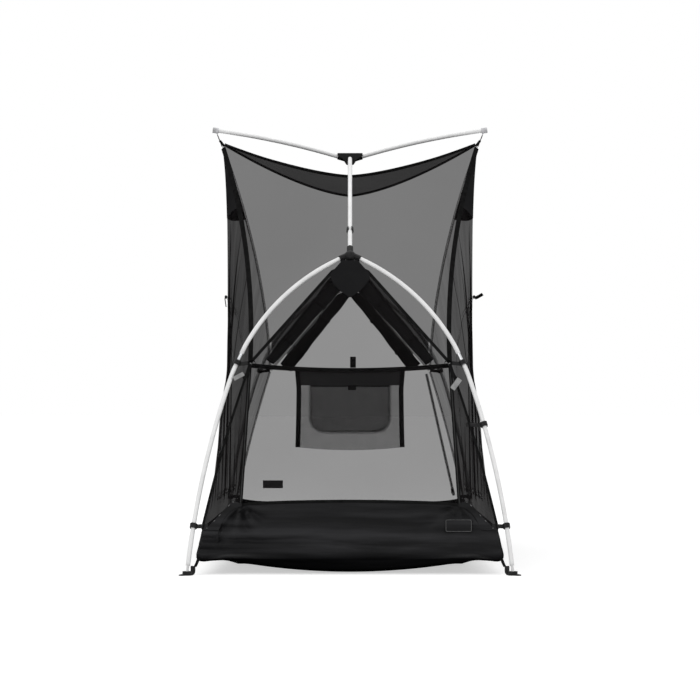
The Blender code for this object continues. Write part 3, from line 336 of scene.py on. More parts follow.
def reckon(operation, first, *others):
    made = node(first, "Math", operation=operation)
    for socket, term in zip(made.inputs, (first, *others)):
        fill(socket, term)
    return made.outputs[0]


def ranged(value, start, stop):  # 0 below start and 1 above stop
    return node(value, "MapRange", Value=value, From_Min=start, From_Max=stop).outputs[0]


def places(shader):
    return node(shader, "TexCoord").outputs["Object"]


def weaves(shader):
    return node(shader, "UVMap", uv_map="weave").outputs[0]


def parts(vector):
    return node(vector, "SeparateXYZ", Vector=vector).outputs


def ripple(way, pitch, wave="SINE"):  # from 0 to 1 and back on every pitch
    return reckon("ABSOLUTE", reckon(wave, reckon("MULTIPLY", way, math.pi / pitch)))


def noise(coords, scale, detail=3.0, stretch=(1, 1, 1)):
    place = node(coords, "Mapping", Vector=coords, Scale=stretch)
    return node(place, "TexNoise", Vector=place.outputs[0], Scale=scale, Detail=detail, Roughness=0.55).outputs["Fac"]


def shades(factor, dark, light, low=0.3, high=0.7):  # dark and light are colours, or numbers for greys
    ramp = node(factor, "ValToRGB")
    fill(ramp.inputs[0], factor)
    for stop, place, tint in zip(ramp.color_ramp.elements, (low, high), (dark, light)):
        stop.position, stop.color = place, (*np.broadcast_to(tint, 3), 1)
    return ramp.outputs[0]


def dimmed(colour, coords, steps):  # by one share up to a height, and by another from a second height on
    for start, stop, below, above in steps:
        share = reckon("MULTIPLY_ADD", ranged(parts(coords)[2], start, stop), above - below, below)
        colour = node(colour, "VectorMath", operation="SCALE", Vector=colour, Scale=share).outputs[0]
    return colour


def bumped(shader, height, strength, distance):
    put(shader, Normal=node(shader, "Bump", Strength=strength, Distance=distance, Height=height).outputs[0])


def finish(name):
    made = bpy.data.materials.new(name)
    made.use_nodes = True
    return made, made.node_tree.nodes["Principled BSDF"]


def netting(name, cover, look):
    # fine black mesh: cover is how much the threads hide, more on a thread than in a hole, and it drifts slowly
    made, shader = finish(name)
    weave = parts(weaves(shader))
    thread = reckon("MAXIMUM", *(ripple(weave[k], look["pitch"]) for k in (0, 1)))
    drift = noise(places(shader), look["driftScale"], 3.0, look["stretch"])
    solid = reckon("MULTIPLY_ADD", thread, look["contrast"], cover - 0.81 * look["contrast"])
    solid = reckon("MULTIPLY_ADD", drift, look["drift"], reckon("ADD", solid, -0.5 * look["drift"]))
    put(shader, Alpha=reckon("MINIMUM", solid, 1.0), Base_Color=shades(drift, look["dark"], look["light"]),
        Roughness=1.0, Specular_IOR_Level=0.0)
    return made


def wovenCloth(name, look):
    # coated cloth: a ripstop grid of thicker threads, a slow drift of shade, creases, and painted shade by height,
    # darker where the cloth turns under
    made, shader = finish(name)
    weave, coords = parts(weaves(shader)), places(shader)
    threads = reckon("MAXIMUM", *(reckon("POWER", ripple(weave[k], look["grid"], "COSINE"), 24.0) for k in (0, 1)))
    drift = noise(coords, look["driftScale"], 4.0, look["stretch"])
    crease = noise(coords, look["creaseScale"], 5.0, look["stretch"])
    # for the tub, this ramp of the stretched drift is partly random tone and partly painted light and shade of the
    # wall's folds
    colour = shades(drift, look["dark"], look["light"], *look["ramp"])
    gloss = look["gloss"]
    if "glossFrom" in look:
        gloss = reckon("MULTIPLY", ranged(parts(coords)[2], *look["glossFrom"]), gloss)
    # painted shade: the steps make the colour darker by height, where the cloth faces down or leans away from the light
    put(shader, Base_Color=dimmed(colour, coords, look["steps"]), Specular_IOR_Level=gloss,
        Roughness=reckon("MULTIPLY_ADD", drift, 0.25, look["roughness"] - 0.12))
    bumped(shader, reckon("MULTIPLY_ADD", threads, look["gridLift"], crease), look["bump"], 0.004)
    return made


def webbingFinish(name, rib, dark, light, roughness):
    # ribs across the strap, a slow drift of dust, and the ribs' own bump
    made, shader = finish(name)
    ribs = ripple(parts(weaves(shader))[0], rib)
    dusty = reckon("MULTIPLY_ADD", ribs, 0.35, noise(places(shader), 60.0))
    put(shader, Base_Color=shades(dusty, dark, light, 0.4, 0.9), Roughness=roughness, Specular_IOR_Level=0.0)
    bumped(shader, ribs, 0.5, 0.0006)
    return made


def mouldedFinish(name, dark, light, roughness, steps=()):
    # moulded plastic: a fine spark-eroded grain and a slow drift of shade and gloss
    made, shader = finish(name)
    coords = places(shader)
    drift = noise(coords, 45.0)
    put(shader, Base_Color=dimmed(shades(drift, dark, light), coords, steps), Specular_IOR_Level=0.2,
        Roughness=reckon("MULTIPLY_ADD", drift, 0.22, roughness - 0.1))
    bumped(shader, noise(coords, 1400.0, 2.0), 0.25, 0.0004)
    return made


def tubeFinish(name, dark, light, roughness, metallic):
    # painted or bare tube: long faint draw marks and small scuffs
    made, shader = finish(name)
    marks = noise(weaves(shader), 900.0, 2.0, (1.0, 0.01, 1.0))
    put(shader, Base_Color=shades(noise(places(shader), 30.0, 4.0), dark, light, 0.35, 0.6), Metallic=metallic,
        Roughness=reckon("MULTIPLY_ADD", marks, 0.2, roughness - 0.1))
    bumped(shader, marks, 0.08, 0.0002)
    return made


netLook = {"pitch": 0.0012, "contrast": 0.10, "drift": 0.05, "driftScale": 2.5, "stretch": (1, 1, 1),
           "dark": (0.006, 0.0056, 0.0058), "light": (0.011, 0.010, 0.0104)}
# sideRight is less dense than sideLeft, so the right wall renders lighter: painted light for the light that falls on
# the right side
covers = {"end": 0.475, "upper": 0.565, "roof": 0.93, "door": 0.76, "pocket": 0.575, "pouch": 0.70, "pouchBand": 0.28,
          "hem": 0.88, "edge": 0.25, "seam": 0.48, "sideLeft": 0.79, "sideRight": 0.72, "wedge": 0.87}
pocketDrift = {"drift": 0.16, "driftScale": 45.0}
sideDrift = {"drift": 0.22, "driftScale": 9.0, "stretch": (1, 3, 0.4)}
drifts = {"pocket": pocketDrift, "pouch": pocketDrift, "sideLeft": sideDrift, "sideRight": sideDrift,
          "wedge": {"drift": 0.22, "driftScale": 14.0, "stretch": (4, 1, 0.5)}}
clothLook = {"grid": 0.005, "gridLift": 0.06, "driftScale": 3.5, "creaseScale": 16.0, "stretch": (1, 1, 4),
             "roughness": 0.60, "bump": 0.2, "gloss": 0.06, "ramp": (0.3, 0.7), "steps": ()}
clothLooks = {
    # the tub's drift, stretched into level bands with a narrow ramp, is partly random tone and partly painted light and
    # shade of the wall's folds
    "tub": {"dark": (0.0050, 0.0050, 0.0055), "light": (0.0250, 0.0250, 0.0268), "bump": 0.30, "gloss": 0.12,
            "driftScale": 4.0, "stretch": (0.7, 1, 9), "ramp": (0.38, 0.64), "glossFrom": (0.036, 0.056),
            # painted shade: the steps darken the cloth to 0.35 below the crease, where it turns under, and to 0.55 on
            # the upper wall, which leans back from the light
            "steps": [(0.036, 0.056, 0.35, 1.0), (0.085, 0.150, 1.0, 0.55)]},
    "rolled": {"dark": (0.008, 0.008, 0.0085), "light": (0.017, 0.017, 0.0177), "creaseScale": 40.0,
               "stretch": (1, 1, 1), "roughness": 0.8, "gloss": 0.04},
    "band": {"dark": (0.027, 0.027, 0.028), "light": (0.046, 0.046, 0.047)},
    "grey": {"dark": (0.13, 0.125, 0.128), "light": (0.20, 0.193, 0.196)},
    "patch": {"dark": (0.012, 0.012, 0.0126), "light": (0.020, 0.020, 0.0206), "bump": 0.30, "gloss": 0.0},
}
webLook = {"rib": 0.0016, "dark": 0.004, "light": 0.014, "roughness": 0.85}
tagLook = {"rib": 0.0012, "dark": 0.22, "light": 0.40, "roughness": 0.75}
plasticLook = {"dark": 0.003, "light": (0.008, 0.008, 0.0083), "roughness": 0.5}

nets = {name: netting(f"{name}Netting", cover, {**netLook, **drifts.get(name, {})}) for name, cover in covers.items()}
cloths = {name: wovenCloth(f"{name}Cloth", {**clothLook, **look}) for name, look in clothLooks.items()}
webbing = webbingFinish("webbing", **webLook)
binding = webbingFinish("binding", **{**webLook, "rib": 0.0011})
stitching = webbingFinish("stitching", 0.0008, 0.10, 0.22, 0.8)
tagWeb = webbingFinish("tagWebbing", **tagLook)
stitchWeb = webbingFinish("stitchWebbing", **{**tagLook, "dark": 0.12, "light": 0.22})
plastic = mouldedFinish("mouldedPlastic", **plasticLook)
tiePlastic = mouldedFinish("tiePlastic", **plasticLook, steps=[(1.158, 1.161, 1.0, 95.0)])
lacquer = mouldedFinish("zipLacquer", 0.010, 0.022, 0.3)
polePaint = tubeFinish("polePaint", 0.80, 0.87, 0.32, 0.0)
alloy = tubeFinish("ferruleAlloy", (0.42, 0.43, 0.44), (0.62, 0.63, 0.64), 0.28, 1.0)
print("materials ready")


camera = {"place": (0.0, -7.345, 0.42), "focal": 2635.0, "horizon": 400.0, "picture": 700, "sensor": 36.0}
sky = 0.62
floor = {"half": 60.0, "z": -0.0005, "glow": 0.54}
lamps = {"key": {"place": (-2.6, -3.6, 3.4), "size": 2.6, "power": 52.0},
         "fill": {"place": (3.2, -3.0, 1.8), "size": 2.4, "power": 22.0},
         "top": {"place": (0.0, 0.6, 4.0), "size": 3.0, "power": 28.0}}


def shown(made):
    bpy.context.scene.collection.objects.link(made)
    return made


def seen(tree):  # 1 where the camera sees it by itself, in a gloss or through something
    ray = node(tree, "LightPath").outputs
    return reckon("MAXIMUM", reckon("MAXIMUM", ray["Is Camera Ray"], ray["Is Glossy Ray"]), ray["Is Transmission Ray"])


def setStage():
    scene = bpy.context.scene
    data = bpy.data.cameras.new("camera")
    data.sensor_width = camera["sensor"]
    data.lens = camera["focal"] / camera["picture"] * camera["sensor"]
    data.clip_start, data.clip_end = 0.1, 200
    scene.camera = shown(bpy.data.objects.new("camera", data))
    scene.camera.location = camera["place"]
    tilt = math.atan((camera["horizon"] - camera["picture"] / 2) / camera["focal"])
    scene.camera.rotation_euler = (math.pi / 2 + tilt, 0, 0)

    mesh = bpy.data.meshes.new("floor")
    square = [(x * floor["half"], y * floor["half"], floor["z"]) for x, y in ((-1, -1), (1, -1), (1, 1), (-1, 1))]
    mesh.from_pydata(square, [], [(0, 1, 2, 3)])
    made, shader = finish("floorWhite")
    put(shader, Base_Color=(0.80, 0.80, 0.80, 1), Roughness=0.9, Specular_IOR_Level=0.0)
    glow = node(shader, "Emission", Strength=reckon("MULTIPLY", seen(made.node_tree), floor["glow"]))
    both = node(shader, "AddShader")
    fill(both.inputs[0], shader.outputs[0])
    fill(both.inputs[1], glow.outputs[0])
    put(made.node_tree.nodes["Material Output"], Surface=both.outputs[0])
    mesh.materials.append(made)
    shown(bpy.data.objects.new("floor", mesh))

    scene.world = bpy.data.worlds.new("studio")
    scene.world.use_nodes = True
    tree = scene.world.node_tree
    put(tree.nodes["Background"], Color=(1, 1, 1, 1), Strength=reckon("MULTIPLY_ADD", seen(tree), 1 - sky, sky))
    for name, look in lamps.items():
        data = bpy.data.lights.new(name, "AREA")
        data.size, data.energy = look["size"], look["power"]
        lamp = shown(bpy.data.objects.new(name, data))
        lamp.location = look["place"]
        lamp.rotation_euler = (Vector((0, 0, 0.5)) - Vector(look["place"])).to_track_quat("-Z", "Y").to_euler()
    scene.view_settings.view_transform = "Standard"


setStage()
print("stage set")


poles = {"sides": 24, "archStep": 0.008, "ridgeSteps": 60, "wingSteps": 30, "chamfer": 0.0006, "endShare": 0.86,
         "ridgeFrom": 0.013, "ridgeShort": 0.010, "wingFrom": 0.014, "tipLength": 0.016}
ferrule = {"radius": 0.0042, "shown": 0.020, "seated": 0.016}


def tube(name, path, ref, swell, replaced):
    made = carried(name, path, roundProfile(poleRadius, poles["sides"]), ref, polePaint, swell)
    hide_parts(replaced)


def pole(name, path, ref, replaced):
    # a round tube whose two ends are turned over a short chamfer
    first, last = unit(path[0] - path[1]) * poles["chamfer"], unit(path[-1] - path[-2]) * poles["chamfer"]
    path = np.concatenate([[path[0]], [path[0] - first], path[1:-1], [path[-1] - last], [path[-1]]])
    swell = np.ones(len(path))
    swell[[0, -1]] = poles["endShare"]
    tube(name, path, ref, swell, replaced)


def archPoles(side, end):
    # the upper pole, the lower one with its pin at the foot, and the ferrule that shows between them
    name = f"{endNames[end]}_{sideNames[side]}"
    a, b = archPoint(side, end, [jointFrom, jointTo])
    straight = unit(b - a)
    top, bottom = (a + b) / 2 - straight * ferrule["shown"] / 2, (a + b) / 2 + straight * ferrule["shown"] / 2
    runs = np.arange(0, jointFrom, poles["archStep"])
    upper = np.concatenate([archPoint(side, end, runs), archPoint(side, end, [jointFrom]), [top]])
    pole(f"upperPole_{name}", upper, planeIn(end), f"upper_pole_{name}")
    runs = np.arange(jointTo, archRun - poles["tipLength"], poles["archStep"])
    lower = np.concatenate([[bottom], archPoint(side, end, runs)])
    tip = archPoint(side, end, archRun)
    down = unit(tip - lower[-1])
    turn = np.radians([0, 25, 50, 70, 86])
    pin = np.concatenate([[lower[-1] + down * 0.001], tip + down * tipRadius * np.sin(turn)[:, None]])
    share = tipRadius / poleRadius
    swell = np.concatenate([[poles["endShare"]], np.ones(len(lower) - 1), [share], share * np.cos(turn)])
    tube(f"lowerPole_{name}", np.concatenate([lower, pin]), planeIn(end), swell, f"lower_pole_{name}")
    path = along([top - straight * ferrule["seated"], bottom + straight * ferrule["seated"]], 12)
    made = carried(f"ferrule_{name}", path, roundProfile(ferrule["radius"], poles["sides"]), planeIn(end), alloy)
    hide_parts(f"ferrule_{name}")


for end in (front, rear):
    for side in (left, right):
        archPoles(side, end)
    run = np.linspace(poles["ridgeFrom"], ridgeRadius * ridgeHalf - poles["ridgeShort"], poles["ridgeSteps"])
    pole(f"ridgePole_{endNames[end]}", ridgePoint(end, run), (1, 0, 0), f"ridge_pole_{endNames[end]}")
for side in (left, right):
    share = np.linspace(poles["wingFrom"] / wingRadius / wingBend, 1, poles["wingSteps"])
    pole(f"wingPole_{sideNames[side]}", wingPoint(side, share), (0, 1, 0), f"wing_pole_{sideNames[side]}")
print("poles done")


panels = {"rows": 36, "columns": 72, "seam": 0.0007, "inset": 0.0008, "roofShare": 0.9885, "capShort": 0.010}
doorway = {"seam": 0.0015, "sewnSeam": 0.0003, "hemOut": -0.0055, "hemWidth": 0.007, "hemLift": 0.0005,
           "zipOut": 0.0040, "zipWidth": 0.012, "zipLift": 0.0014}
zipLine = {"lowX": 0.264, "lowZ": 0.163}
tubLine = {"frontRise": 0.066, "frontBow": 0.012, "frontShare": 0.888, "rearSag": 0.014}


def tubTop(end, share):
    # the tub's upper edge: in front it steps up inside both corners to a low arch, behind it sags a little
    share = np.asarray(share, float)
    if end == rear:
        return tubTopZ - tubLine["rearSag"] * (1 - np.abs(share) ** 8)
    inner = 1 - np.minimum(1, np.abs(share) / tubLine["frontShare"]) ** 16
    return tubTopZ + (tubLine["frontRise"] - tubLine["frontBow"] * share**2) * inner


def zipX(z):
    return mix(zipLine["lowX"], knotX, np.clip((z - zipLine["lowZ"]) / (knotZ - zipLine["lowZ"]), 0, 1))


def roofPanel():
    # across u and along w: the two sagging edges joined by straight lines, lifted by a low dome
    u, w = grid((-1, 1, panels["columns"]), (-1, 1, panels["rows"]))
    u = u * panels["roofShare"]
    edge = roofEdge(u, rear)
    lift = roofLift * (1 - w**2) * (1 - u**2)
    points = np.stack([edge[..., 0], w * (edge[..., 1] - panels["seam"]), edge[..., 2] + lift], -1)
    made = cloth("roofNet", points, nets["roof"], slot="roof_mesh")
    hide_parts("roof_panel")


def upperPanel(end):
    # ruled between the gable's two straight seams and the roof's sagging edge, drawn in at both sides
    u, s = grid((-1, 1, panels["columns"] * 2 + 1), (0, 1, panels["rows"]))
    width = mix(knotX, cornerX, s)
    u = u * (1 - panels["seam"] / width - 0.0095 * s**6)
    points = mix(gableEdge(u, end), roofEdge(u, end), (s * 0.996 + 0.002)[..., None])
    points[..., 0] -= 4 * bow * s * (1 - s) * u**2 * np.sign(u)
    made = cloth(f"upperNet_{endNames[end]}", points, nets["upper"], flip=end == rear)
    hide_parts(f"upper_panel_{endNames[end]}")


def endWall(end):
    # rows from the tub's edge to the knots and on to the apex; in front it is only as wide as its two zips
    u, v = grid((-1, 1, 60), (0, 1, 44))
    foot = zipLine["lowX"] if end == front else seamX
    z = mix(tubTop(end, u * foot / seamX) + panels["seam"], knotZ, v)
    level = mix(zipLine["lowZ"] if end == front else tubTopZ, knotZ, v)
    half = (zipX(level) if end == front else edgeWidth(level)) - panels["inset"]
    low = onPlane(half * u, z, end)
    t = 1 - (1 - np.linspace(0, 1, 30)[1:, None]) ** 2
    z = mix(knotZ, apexZ - panels["inset"], t)
    high = onPlane((gableHalf(z) - panels["inset"]) * u[:1], z + 0 * u[:1], end)
    made = cloth(f"endNet_{endNames[end]}", np.concatenate([low, high]), nets["end"], flip=end == rear)
    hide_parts(f"end_wall_{endNames[end]}")


apexTab = {"low": 0.737, "point": 0.061, "high": 0.7725, "sag": 0.002, "lift": 0.0024, "hub": 0.7374}


def hubTab():
    # the front gable's two seams carried on as a cloth tab, up to the hub and just in front of it, pointed below
    u, w = grid((-1, 1, 41), (0, 1, 24))
    z = mix(apexTab["low"] - apexTab["point"] * (1 - np.abs(u)), apexTab["high"] - apexTab["sag"] * (1 - u**2), w)
    half = knotX - (z - knotZ) / gableRise
    y = -np.maximum(planeOut(z) + apexTab["lift"], apexTab["hub"])
    made = cloth("hubTab", np.stack([u * half, y, z], -1), cloths["rolled"])


hems = {"from": 0.195, "to": 0.030, front: {"drop": (0.030, 0.020), "flat": (0.260, 0.0220)},
        rear: {"drop": (0.016, 0.014), "flat": (0.260, 0.0115)}}


def flapHem(side, end):
    # the part of a flap between its seam and its roll
    t, w = grid((0, 1, 60), (0, 1, 8))
    x = side * mix(hems["from"], hems["to"], t)
    z = gableTop(x) - 0.0030 - w * mix(*hems[end]["drop"], t)
    made = cloth(f"flapHem_{endNames[end]}_{sideNames[side]}", onPlane(x, z, end, 0.0010 + 0.0012 * w), nets["hem"],
                 flip=(end == rear) != (side == left))


wedge = {"folds": 3.2, "depth": 0.004}


def endWedge(side):
    # the closely folded cloth between a front zip and the corner seam, with upright folds that fade at both edges
    w, v = grid((0, 1, 40), (0, 1, 60))
    foot = mix(zipLine["lowX"], seamX, w)
    z = mix(tubTop(front, foot / seamX) + panels["seam"], knotZ - 0.004, v)
    x = mix(zipX(z), edgeWidth(z), w)
    lift = -wedge["depth"] * np.sin(wedge["folds"] * math.tau * w + 2.2 * v) ** 2 * 4 * w * (1 - w) * (1 - v)
    lift = lift * smooth(0.05, 0.35, v)
    made = cloth(f"frontWedge_{sideNames[side]}", onPlane(side * x, z, front, lift), nets["wedge"], flip=side == left)
    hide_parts("end_wall_front")


def doorReach(c, s):
    # how far the doorway's edge is from its shoulder's middle, in the direction (c, s) of y and z
    up = 1 / np.sqrt((c / doorY) ** 2 + (np.maximum(s, 0) / (doorTop - doorShoulder)) ** 2)
    down = np.minimum(doorY / np.maximum(np.abs(c), 1e-9), (doorShoulder - doorBase) / np.maximum(-s, 1e-9))
    return np.where(s > 0, up, down)


def sideWall(side):
    # rings from the doorway's edge out to the seams, along rays from the middle of the doorway's shoulder
    low, top = tubTopZ + panels["seam"], cornerZ - panels["capShort"]
    lowY, kneeY, topY = (edgeOut(z) - panels["seam"] for z in (low, knotZ, top))
    rim = [(lowY, low), (kneeY, knotZ), (topY, top), (-topY, top), (-kneeY, knotZ), (-lowY, low), (lowY, low)]
    rim = np.array(rim) - [0, doorShoulder]
    corners = [math.atan2(z, y) for y, z in rim[:-1]]
    corners += [math.atan2(doorBase - doorShoulder, s * doorY) for s in (-1, 1)]
    turn = np.unique(np.round(np.concatenate([np.linspace(-math.pi, math.pi, 620, endpoint=False), corners]), 6))
    c, s = np.cos(turn), np.sin(turn)
    outer = np.full(len(turn), np.inf)
    for (y1, z1), (y2, z2) in zip(rim, rim[1:]):
        cross = c * (z2 - z1) - s * (y2 - y1)
        reach = (y1 * (z2 - z1) - z1 * (y2 - y1)) / np.where(np.abs(cross) < 1e-9, 1e-9, cross)
        where = (c * reach - y1) * (y2 - y1) + (s * reach - z1) * (z2 - z1)
        size = (y2 - y1) ** 2 + (z2 - z1) ** 2
        fits = (reach > 0) & (where > -1e-6 * size) & (where < (1 + 1e-6) * size)
        outer = np.where(fits, np.minimum(outer, reach), outer)
    reach = mix(doorReach(c, s), outer, np.linspace(0, 1, 84)[:, None])
    y, z = c * reach, s * reach + doorShoulder
    points, flat = onSide(side, y, z), np.stack([y, z], -1).reshape(-1, 2)
    quads = gridFaces(points, True, side == left)[0]
    made = dressed(f"sideNet_{sideNames[side]}", points, quads.tolist(), [flat[quads.ravel()]],
                   nets["sideLeft" if side == left else "sideRight"], False, "tent")
    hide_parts(f"side_wall_{sideNames[side]}")


def sideDoor(side):
    # rows up the doorway: full width to its shoulder, then the half width of an ellipse
    top = doorTop - doorway["seam"]
    arch = doorShoulder + (top - doorShoulder) * np.sin(np.linspace(0, math.pi / 2, 30)[1:])
    rows = np.concatenate([np.linspace(doorBase + doorway["seam"], doorShoulder, 24), arch])
    share = np.clip((rows - doorShoulder) / (top - doorShoulder), 0, 1)
    bend = np.sqrt(np.maximum(1 - share**2, 1e-6))
    u = np.linspace(-1, 1, 200)
    half = doorY - np.where(u < 0, doorway["seam"], doorway["sewnSeam"])
    points = onSide(side, bend[:, None] * (u * half), rows[:, None] + 0 * u)
    door = f"side_door_{sideNames[side]}"
    made = cloth(f"doorNet_{sideNames[side]}", points, nets["door"], flip=side == left, body=door)
    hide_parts(door)
    hem = doorTape("hem", side, door)
    doorTape("zip", side, "tent")


def doorTape(kind, side, body):
    # a flat tape round the doorway: sill, free side, half ellipse and sewn side, as one line of even steps
    out, name = doorway[f"{kind}Out"], f"door{kind.capitalize()}_{sideNames[side]}"
    half, rise = doorY + out, doorTop - doorShoulder + out
    base = doorBase - out
    turn = np.linspace(math.pi, 0, 60)
    y = np.concatenate([[half - 0.004, -half + 0.012, -half], half * np.cos(turn), [half]])
    z = np.concatenate([[base, base, base + 0.012], doorShoulder + rise * np.sin(turn), [base + 0.006]])
    line = along(np.stack([0 * y, y, z], -1), 300)
    path = onSide(side, line[:, 1], line[:, 2], doorway[f"{kind}Lift"])
    across = np.cross(unit(np.gradient(path, axis=0)), [side, 0, 0])
    return ribbon(name, path, across, doorway[f"{kind}Width"], 0.0008, nets["edge"], body)


def cornerPatch(side):
    # solid cloth over the side wall's top, between both upper seams
    v, w = grid((-1, 1, 24), (0, 1, 20))
    z = mix(0.925, cornerZ - 0.011, w) + 0.016 * v**2 * (1 - w)
    points = onSide(side, v * (edgeOut(z) - 0.0012), z, 0.0008)
    made = cloth(f"cornerPatch_{sideNames[side]}", points, cloths["patch"], flip=side == left)


roofPanel()
for end in (front, rear):
    upperPanel(end)
    endWall(end)
hubTab()
for side in (left, right):
    endWedge(side)
    sideWall(side)
    sideDoor(side)
    cornerPatch(side)
    for end in (front, rear):
        flapHem(side, end)
print("netting done")


tapes = {"gable": 0.008, "upper": {front: 0.014, rear: 0.009}, "low": 0.009, "roof": 0.008, "tub": 0.007,
         "zip": 0.009, "coil": 0.0014, "thick": 0.0009}


def tape(name, path, across, width, material=None):
    return ribbon(name, path, across, width, tapes["thick"], material or binding)


def seamTapes(side, end):
    # three seams of each corner: gable, knot to roof corner, and knot to tub; each tape bisects the two cloths it joins
    name = f"{endNames[end]}_{sideNames[side]}"
    look = binding if end == front else nets["seam"]
    path = gableEdge(np.linspace(1, 0.012, 30) * side, end) - planeIn(end) * 0.0012
    tape(f"gableTape_{name}", path, np.cross(unit(path[-1] - path[0]), planeIn(end)), tapes["gable"], look)
    outward = unit([side, end, 0]) * 0.0010
    for kind, width, z in (
        ("upper", tapes["upper"][end], np.linspace(knotZ + 0.002, cornerZ - 0.014, 60)),
        ("low", tapes["low"], np.linspace(tubTopZ + 0.001, knotZ - 0.004, 50)),
    ):
        corner = np.stack([side * edgeWidth(z), end * edgeOut(z), z], -1)
        tape(f"{kind}Tape_{name}", corner + outward, (side, -end, 0), width, look)


def tubTapes():
    # bound upper edge of the tub, along both ends and both sides
    for end in (front, rear):
        share = np.linspace(-0.997, 0.997, 160)
        path = onPlane(share * seamX, tubTop(end, share), end, -0.0011)
        tape(f"tubTape_{endNames[end]}", path, planeUp(end), tapes["tub"])
    for side in (left, right):
        y = np.linspace(-0.984, 0.984, 160)
        path = onSide(side, y, tubTopZ + 0 * y, 0.0011)
        tape(f"tubTape_{sideNames[side]}", path, (0, 0, 1), tapes["tub"])


def zipTape(kind, name, path, end, material=None):
    # a tape with a coil on its middle
    tape(f"{kind}Zip{name}", path, (1, 0, 0), tapes["zip"], material)
    carried(f"{kind}Coil{name}", path - planeIn(end) * 0.0012, roundProfile(tapes["coil"], 8), (0, 1, 0), lacquer)


for end in (front, rear):
    for side in (left, right):
        seamTapes(side, end)
    edge = roofEdge(np.linspace(-0.975, 0.975, 120), end) + [0, end * 0.0012, 0]
    tape(f"roofTape_{endNames[end]}", edge, (0, end * 0.45, 1), tapes["roof"])
tubTapes()
z = np.linspace(0.168, knotZ - 0.006, 60)
for side in (left, right):
    zipTape("front", f"_{sideNames[side]}", onPlane(side * (zipX(z) + 0.001), z, front, -0.0012), front)
z = np.linspace(0.118, 0.500, 60)
x = mix(tubTopX, knotX, (z - tubTopZ) / (knotZ - tubTopZ)) - 0.0117
zipTape("rear", "", onPlane(x, z, rear, -0.0012), rear, nets["seam"])
print("seams and zips done")


gusset = {"from": 0.262, "to": 0.3545, "fromZ": 0.169, "bendX": 0.2845, "bendZ": 0.1755, "slope": 1.06, "lift": -0.0021,
          "stitches": (0.281, 0.291, 0.313, 0.3255, 0.343), "stitch": 0.0035, "stitchIn": 0.003, "stitchLift": -0.0032}


def gussetTop(x):  # the diagonal upper edge of the tub's cloth beside a front corner
    up = mix(gusset["fromZ"], gusset["bendZ"], np.clip((x - gusset["from"]) / (gusset["bendX"] - gusset["from"]), 0, 1))
    return np.maximum(np.minimum(up, gusset["bendZ"] - gusset["slope"] * (x - gusset["bendX"])), tubTopZ + 0.004)


def tubGusset(side):
    # the tub's cloth carried over the foot of a wedge, with a broken line of pale stitches along its upper edge
    x, w = grid((gusset["from"], gusset["to"], 50), (0, 1, 16))
    low = tubTop(front, x / seamX) - 0.0035
    points = onPlane(side * x, mix(low, gussetTop(x), w), front, gusset["lift"])
    made = cloth(f"tubGusset_{sideNames[side]}", points, cloths["tub"], flip=side == left, slot="tub_cloth")
    for index, start in enumerate(gusset["stitches"]):
        x = np.linspace(start, start + gusset["stitch"], 8)
        line = onPlane(side * x, gussetTop(x) - gusset["stitchIn"], front, gusset["stitchLift"])
        ribbon(f"tubStitch_{sideNames[side]}_{index}", line, planeUp(front), 0.0014, 0.0007, stitching)


tub = {"across": 132, "along": 240, "rings": 50, "bands": 0.0066, "bandPitch": 0.028, "rays": 0.0110, "wave": 0.0035,
       "wavePitch": 0.273, "frontLift": 0.020}
label = {"x": 0.262, "z": 0.117, "width": 0.065, "height": 0.031}
rearLabel = {"x": -0.243, "z": 0.155, "half": 0.0315, "halfHeight": 0.0125}
patchGrid = grid((-1, 1, 24), (-1, 1, 14))


def tubFolds(x, z, level):
    # on the front wall: level bands that wander, and ridges that spread from both upper corners; none under the label
    inside = smooth(0.0, 0.35, level) * smooth(2.2, 1.7, level)
    bands = tub["bands"] * np.sin(math.tau * z / tub["bandPitch"] + 1.7 * np.sin(7.0 * x + 0.6) + 0.8 * np.sin(19 * x))
    bands = bands * (0.55 + 0.45 * np.sin(5.0 * x + 40 * z))
    rays = 0
    for side in (left, right):
        dx, dz = zipLine["lowX"] - side * x, 0.168 - z
        far, angle = np.hypot(dx, dz), np.arctan2(dz, dx)
        rays = rays + tub["rays"] * np.exp(-((far / 0.085) ** 2)) * np.sin(8.5 * angle + 0.7 * side)
    plain = 1 - np.exp(-(((x - label["x"]) / 0.045) ** 4) - ((z - label["z"]) / 0.026) ** 4)
    return inside * (bands + rays) * plain


